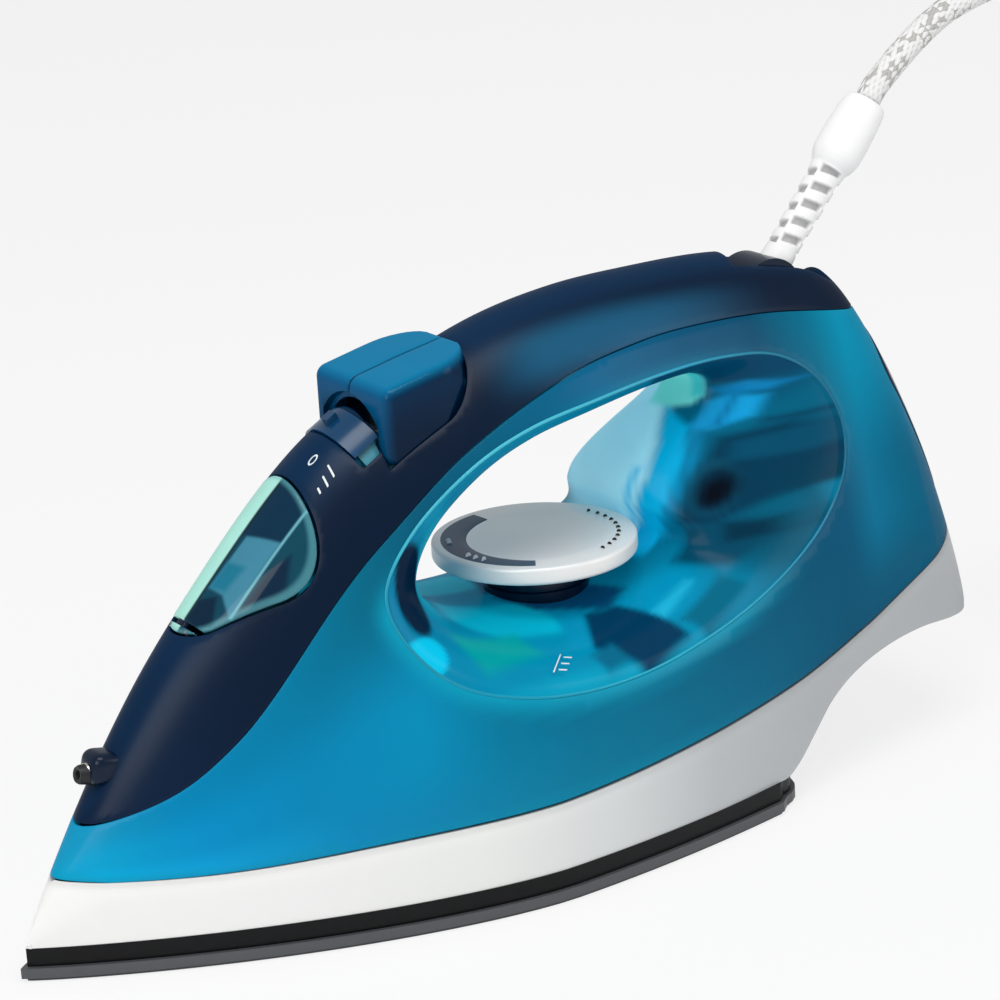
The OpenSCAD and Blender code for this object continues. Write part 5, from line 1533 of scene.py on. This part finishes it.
def makeCordFinish(s):
    # crossing strands wound both ways round the lead, some of them grey
    material, tree, shader, surface, bump = startMaterial("wovenCord", s["yarn"])
    calc = partial(mathNode, tree)
    where = addNode(tree, "ShaderNodeUVMap", uv_map="alongTube").outputs[0]
    split = addNode(tree, "ShaderNodeSeparateXYZ", {0: where}).outputs
    around = calc("MULTIPLY", split[0], s["strands"])
    along = calc("MULTIPLY", split[1], s["pitch"] * 2)
    windings = [calc("ADD", around, along), calc("SUBTRACT", around, along)]

    def wave(value):
        return calc("SINE", calc("MULTIPLY", value, math.pi))

    ridges = [calc("MULTIPLY", calc("ABSOLUTE", wave(w)), h) for w,
              h in zip(windings, (1.0, s["underStrand"]))]
    height = calc("MAXIMUM", *ridges)
    tree.links.new(height, bump.inputs["Height"])
    steps = [calc("FLOOR", w) for w in windings]
    over = calc("GREATER_THAN", wave(along), 0.0)
    cell = addNode(tree, "ShaderNodeCombineXYZ", {0: steps[0], 1: steps[1], 2: over}).outputs[0]
    chance = addNode(tree, "ShaderNodeTexWhiteNoise", {"Vector": cell}).outputs[0]
    spread = {i: calc("MULTIPLY", steps[i], s["patch"]) for i in (0, 1)}
    wide = addNode(tree, "ShaderNodeCombineXYZ", spread).outputs[0]
    grouped = addNode(tree, "ShaderNodeTexNoise", {"Scale": 1.0, "Vector": wide}).outputs[0]
    fleck = calc("MULTIPLY", calc("GREATER_THAN", chance, s["fleckShare"]),
                 calc("GREATER_THAN", grouped, s["patchShare"]))
    yarn = mixed(tree, fleck, surface["Colour"], s["fleck"])
    # painted shade: the yarn darkens between the strands, down to deepest at the bottom
    gain = calc("ADD", calc("MULTIPLY", height, s["shade"]), s["deepest"])
    tree.links.new(scaled(tree, yarn, gain), shader.inputs["Base Color"])
    return material


made["silver_plastic"] = makeDialFinish(dialPrint)
made["woven_cord"] = makeCordFinish(cordWeave)
for slot, finish in (("navy_plastic", "navyPart"), ("teal_gloss", "ringPart"),
                     ("white_rubber", "white_plastic")):
    made[slot] = made[finish]


def paint(finish, *pieces):
    for piece in pieces:
        if not piece.material_slots:
            piece.data.materials.append(made[finish])
        for slot in piece.material_slots:
            slot.material = made[finish]


def paintNodes():
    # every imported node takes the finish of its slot
    for part in frame["record"]["subparts"]:
        piece = nodes.get(part["node"])
        if piece is not None:
            for slot in piece.material_slots:
                slot.material = made[part["material_slot"]]


paintNodes()
paint("ringPart", nodes["steam_control"])
paint("scalePart", nodes["control_track"])
paint("clearFlank", flankPanel)
paint("clearTunnel", tunnel)
paint("clearLid", fillingLid, lidFoot)
paint("navyPart", knucklePin, nodes["swivel_drum"])
paint("navyCover", coverPanel)
paint("greySkirt", skirtShell)
paint("navyPart", heelCover, collarRing, sprayNose)
paint("printBlack", sprayLip)
paint("printWhite", levelMark, coverMarks)
paint("rimPlastic", *rimHighlights)
paint("tealPart", sprayCap, steamCap)
paint("silver_plastic", dialCap)
paint("reliefRubber", reliefSleeve)
paint("woven_cord", leadPiece)

# ---- the dial's dots, one tree for each ring of them, its result made a plain mesh ----
def markRing(name, finish, radius, start, sweep, count, size, centre, height):
    sockets = [("Ring radius", "NodeSocketFloat", radius / 1000),
               ("Start angle", "NodeSocketFloat", math.radians(start)),
               ("Sweep", "NodeSocketFloat", math.radians(sweep)), ("Count", "NodeSocketInt", count),
               ("Dot radius", "NodeSocketFloat", size / 1000)]
    tree, given = instanceTree(name + "Tree", ringPoints, roundDot, made[finish], sockets)
    piece = grownPiece(name, tree, given, Matrix.Translation(Vector(inFrame((*centre, height)))))
    if not piece.data.materials:
        piece.data.materials.append(made[finish])
    piece.data.polygons.foreach_set("use_smooth", [False] * len(piece.data.polygons))
    return piece


dialDots = markRing("dialDots", "printBlack", dial["dotRadius"], dial["dotArc"][0],
                    dial["dotArc"][1] - dial["dotArc"][0],
                    dial["dots"], dial["dotSize"], dial["centre"], dial["high"] + 0.06)
heatDots = markRing("heatDots", "printWhite", 23.2, 186, 14, 3, 0.95, dial["centre"], dial["high"] + 0.06)
coolDots = markRing("coolDots", "printWhite", 23.2, 150, 5, 2, 0.75, dial["centre"], dial["high"] + 0.06)
print("repeats grown")

# ---- riding and hiding ----
def ridesOn(body, *pieces):
    for piece in pieces:
        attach(piece, body)


ridesOn("root", flankPanel, coverPanel, heelCover, tunnel, skirtShell, *rimHighlights)
ridesOn("root", collarRing, sprayNose, sprayLip, lidFoot, levelMark, coverMarks)
ridesOn("dial", dialCap, dialDots, heatDots, coolDots)
ridesOn("fill_door", fillingLid, knucklePin)
ridesOn("spray_button", sprayCap)
ridesOn("steam_button", steamCap)
ridesOn("cord_swivel", reliefSleeve)
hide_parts("dial")
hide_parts("dial_collar")
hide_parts("fill_door")
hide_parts("spray_button")
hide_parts("steam_button")
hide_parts("spray_nozzle")
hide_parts("strain_relief")
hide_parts("body_shell")
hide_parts("top_cover")
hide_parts("skirt")
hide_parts("rear_cover")

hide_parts("cord_tube", "cord_coil", "cord_tail")
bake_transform(leadPiece)
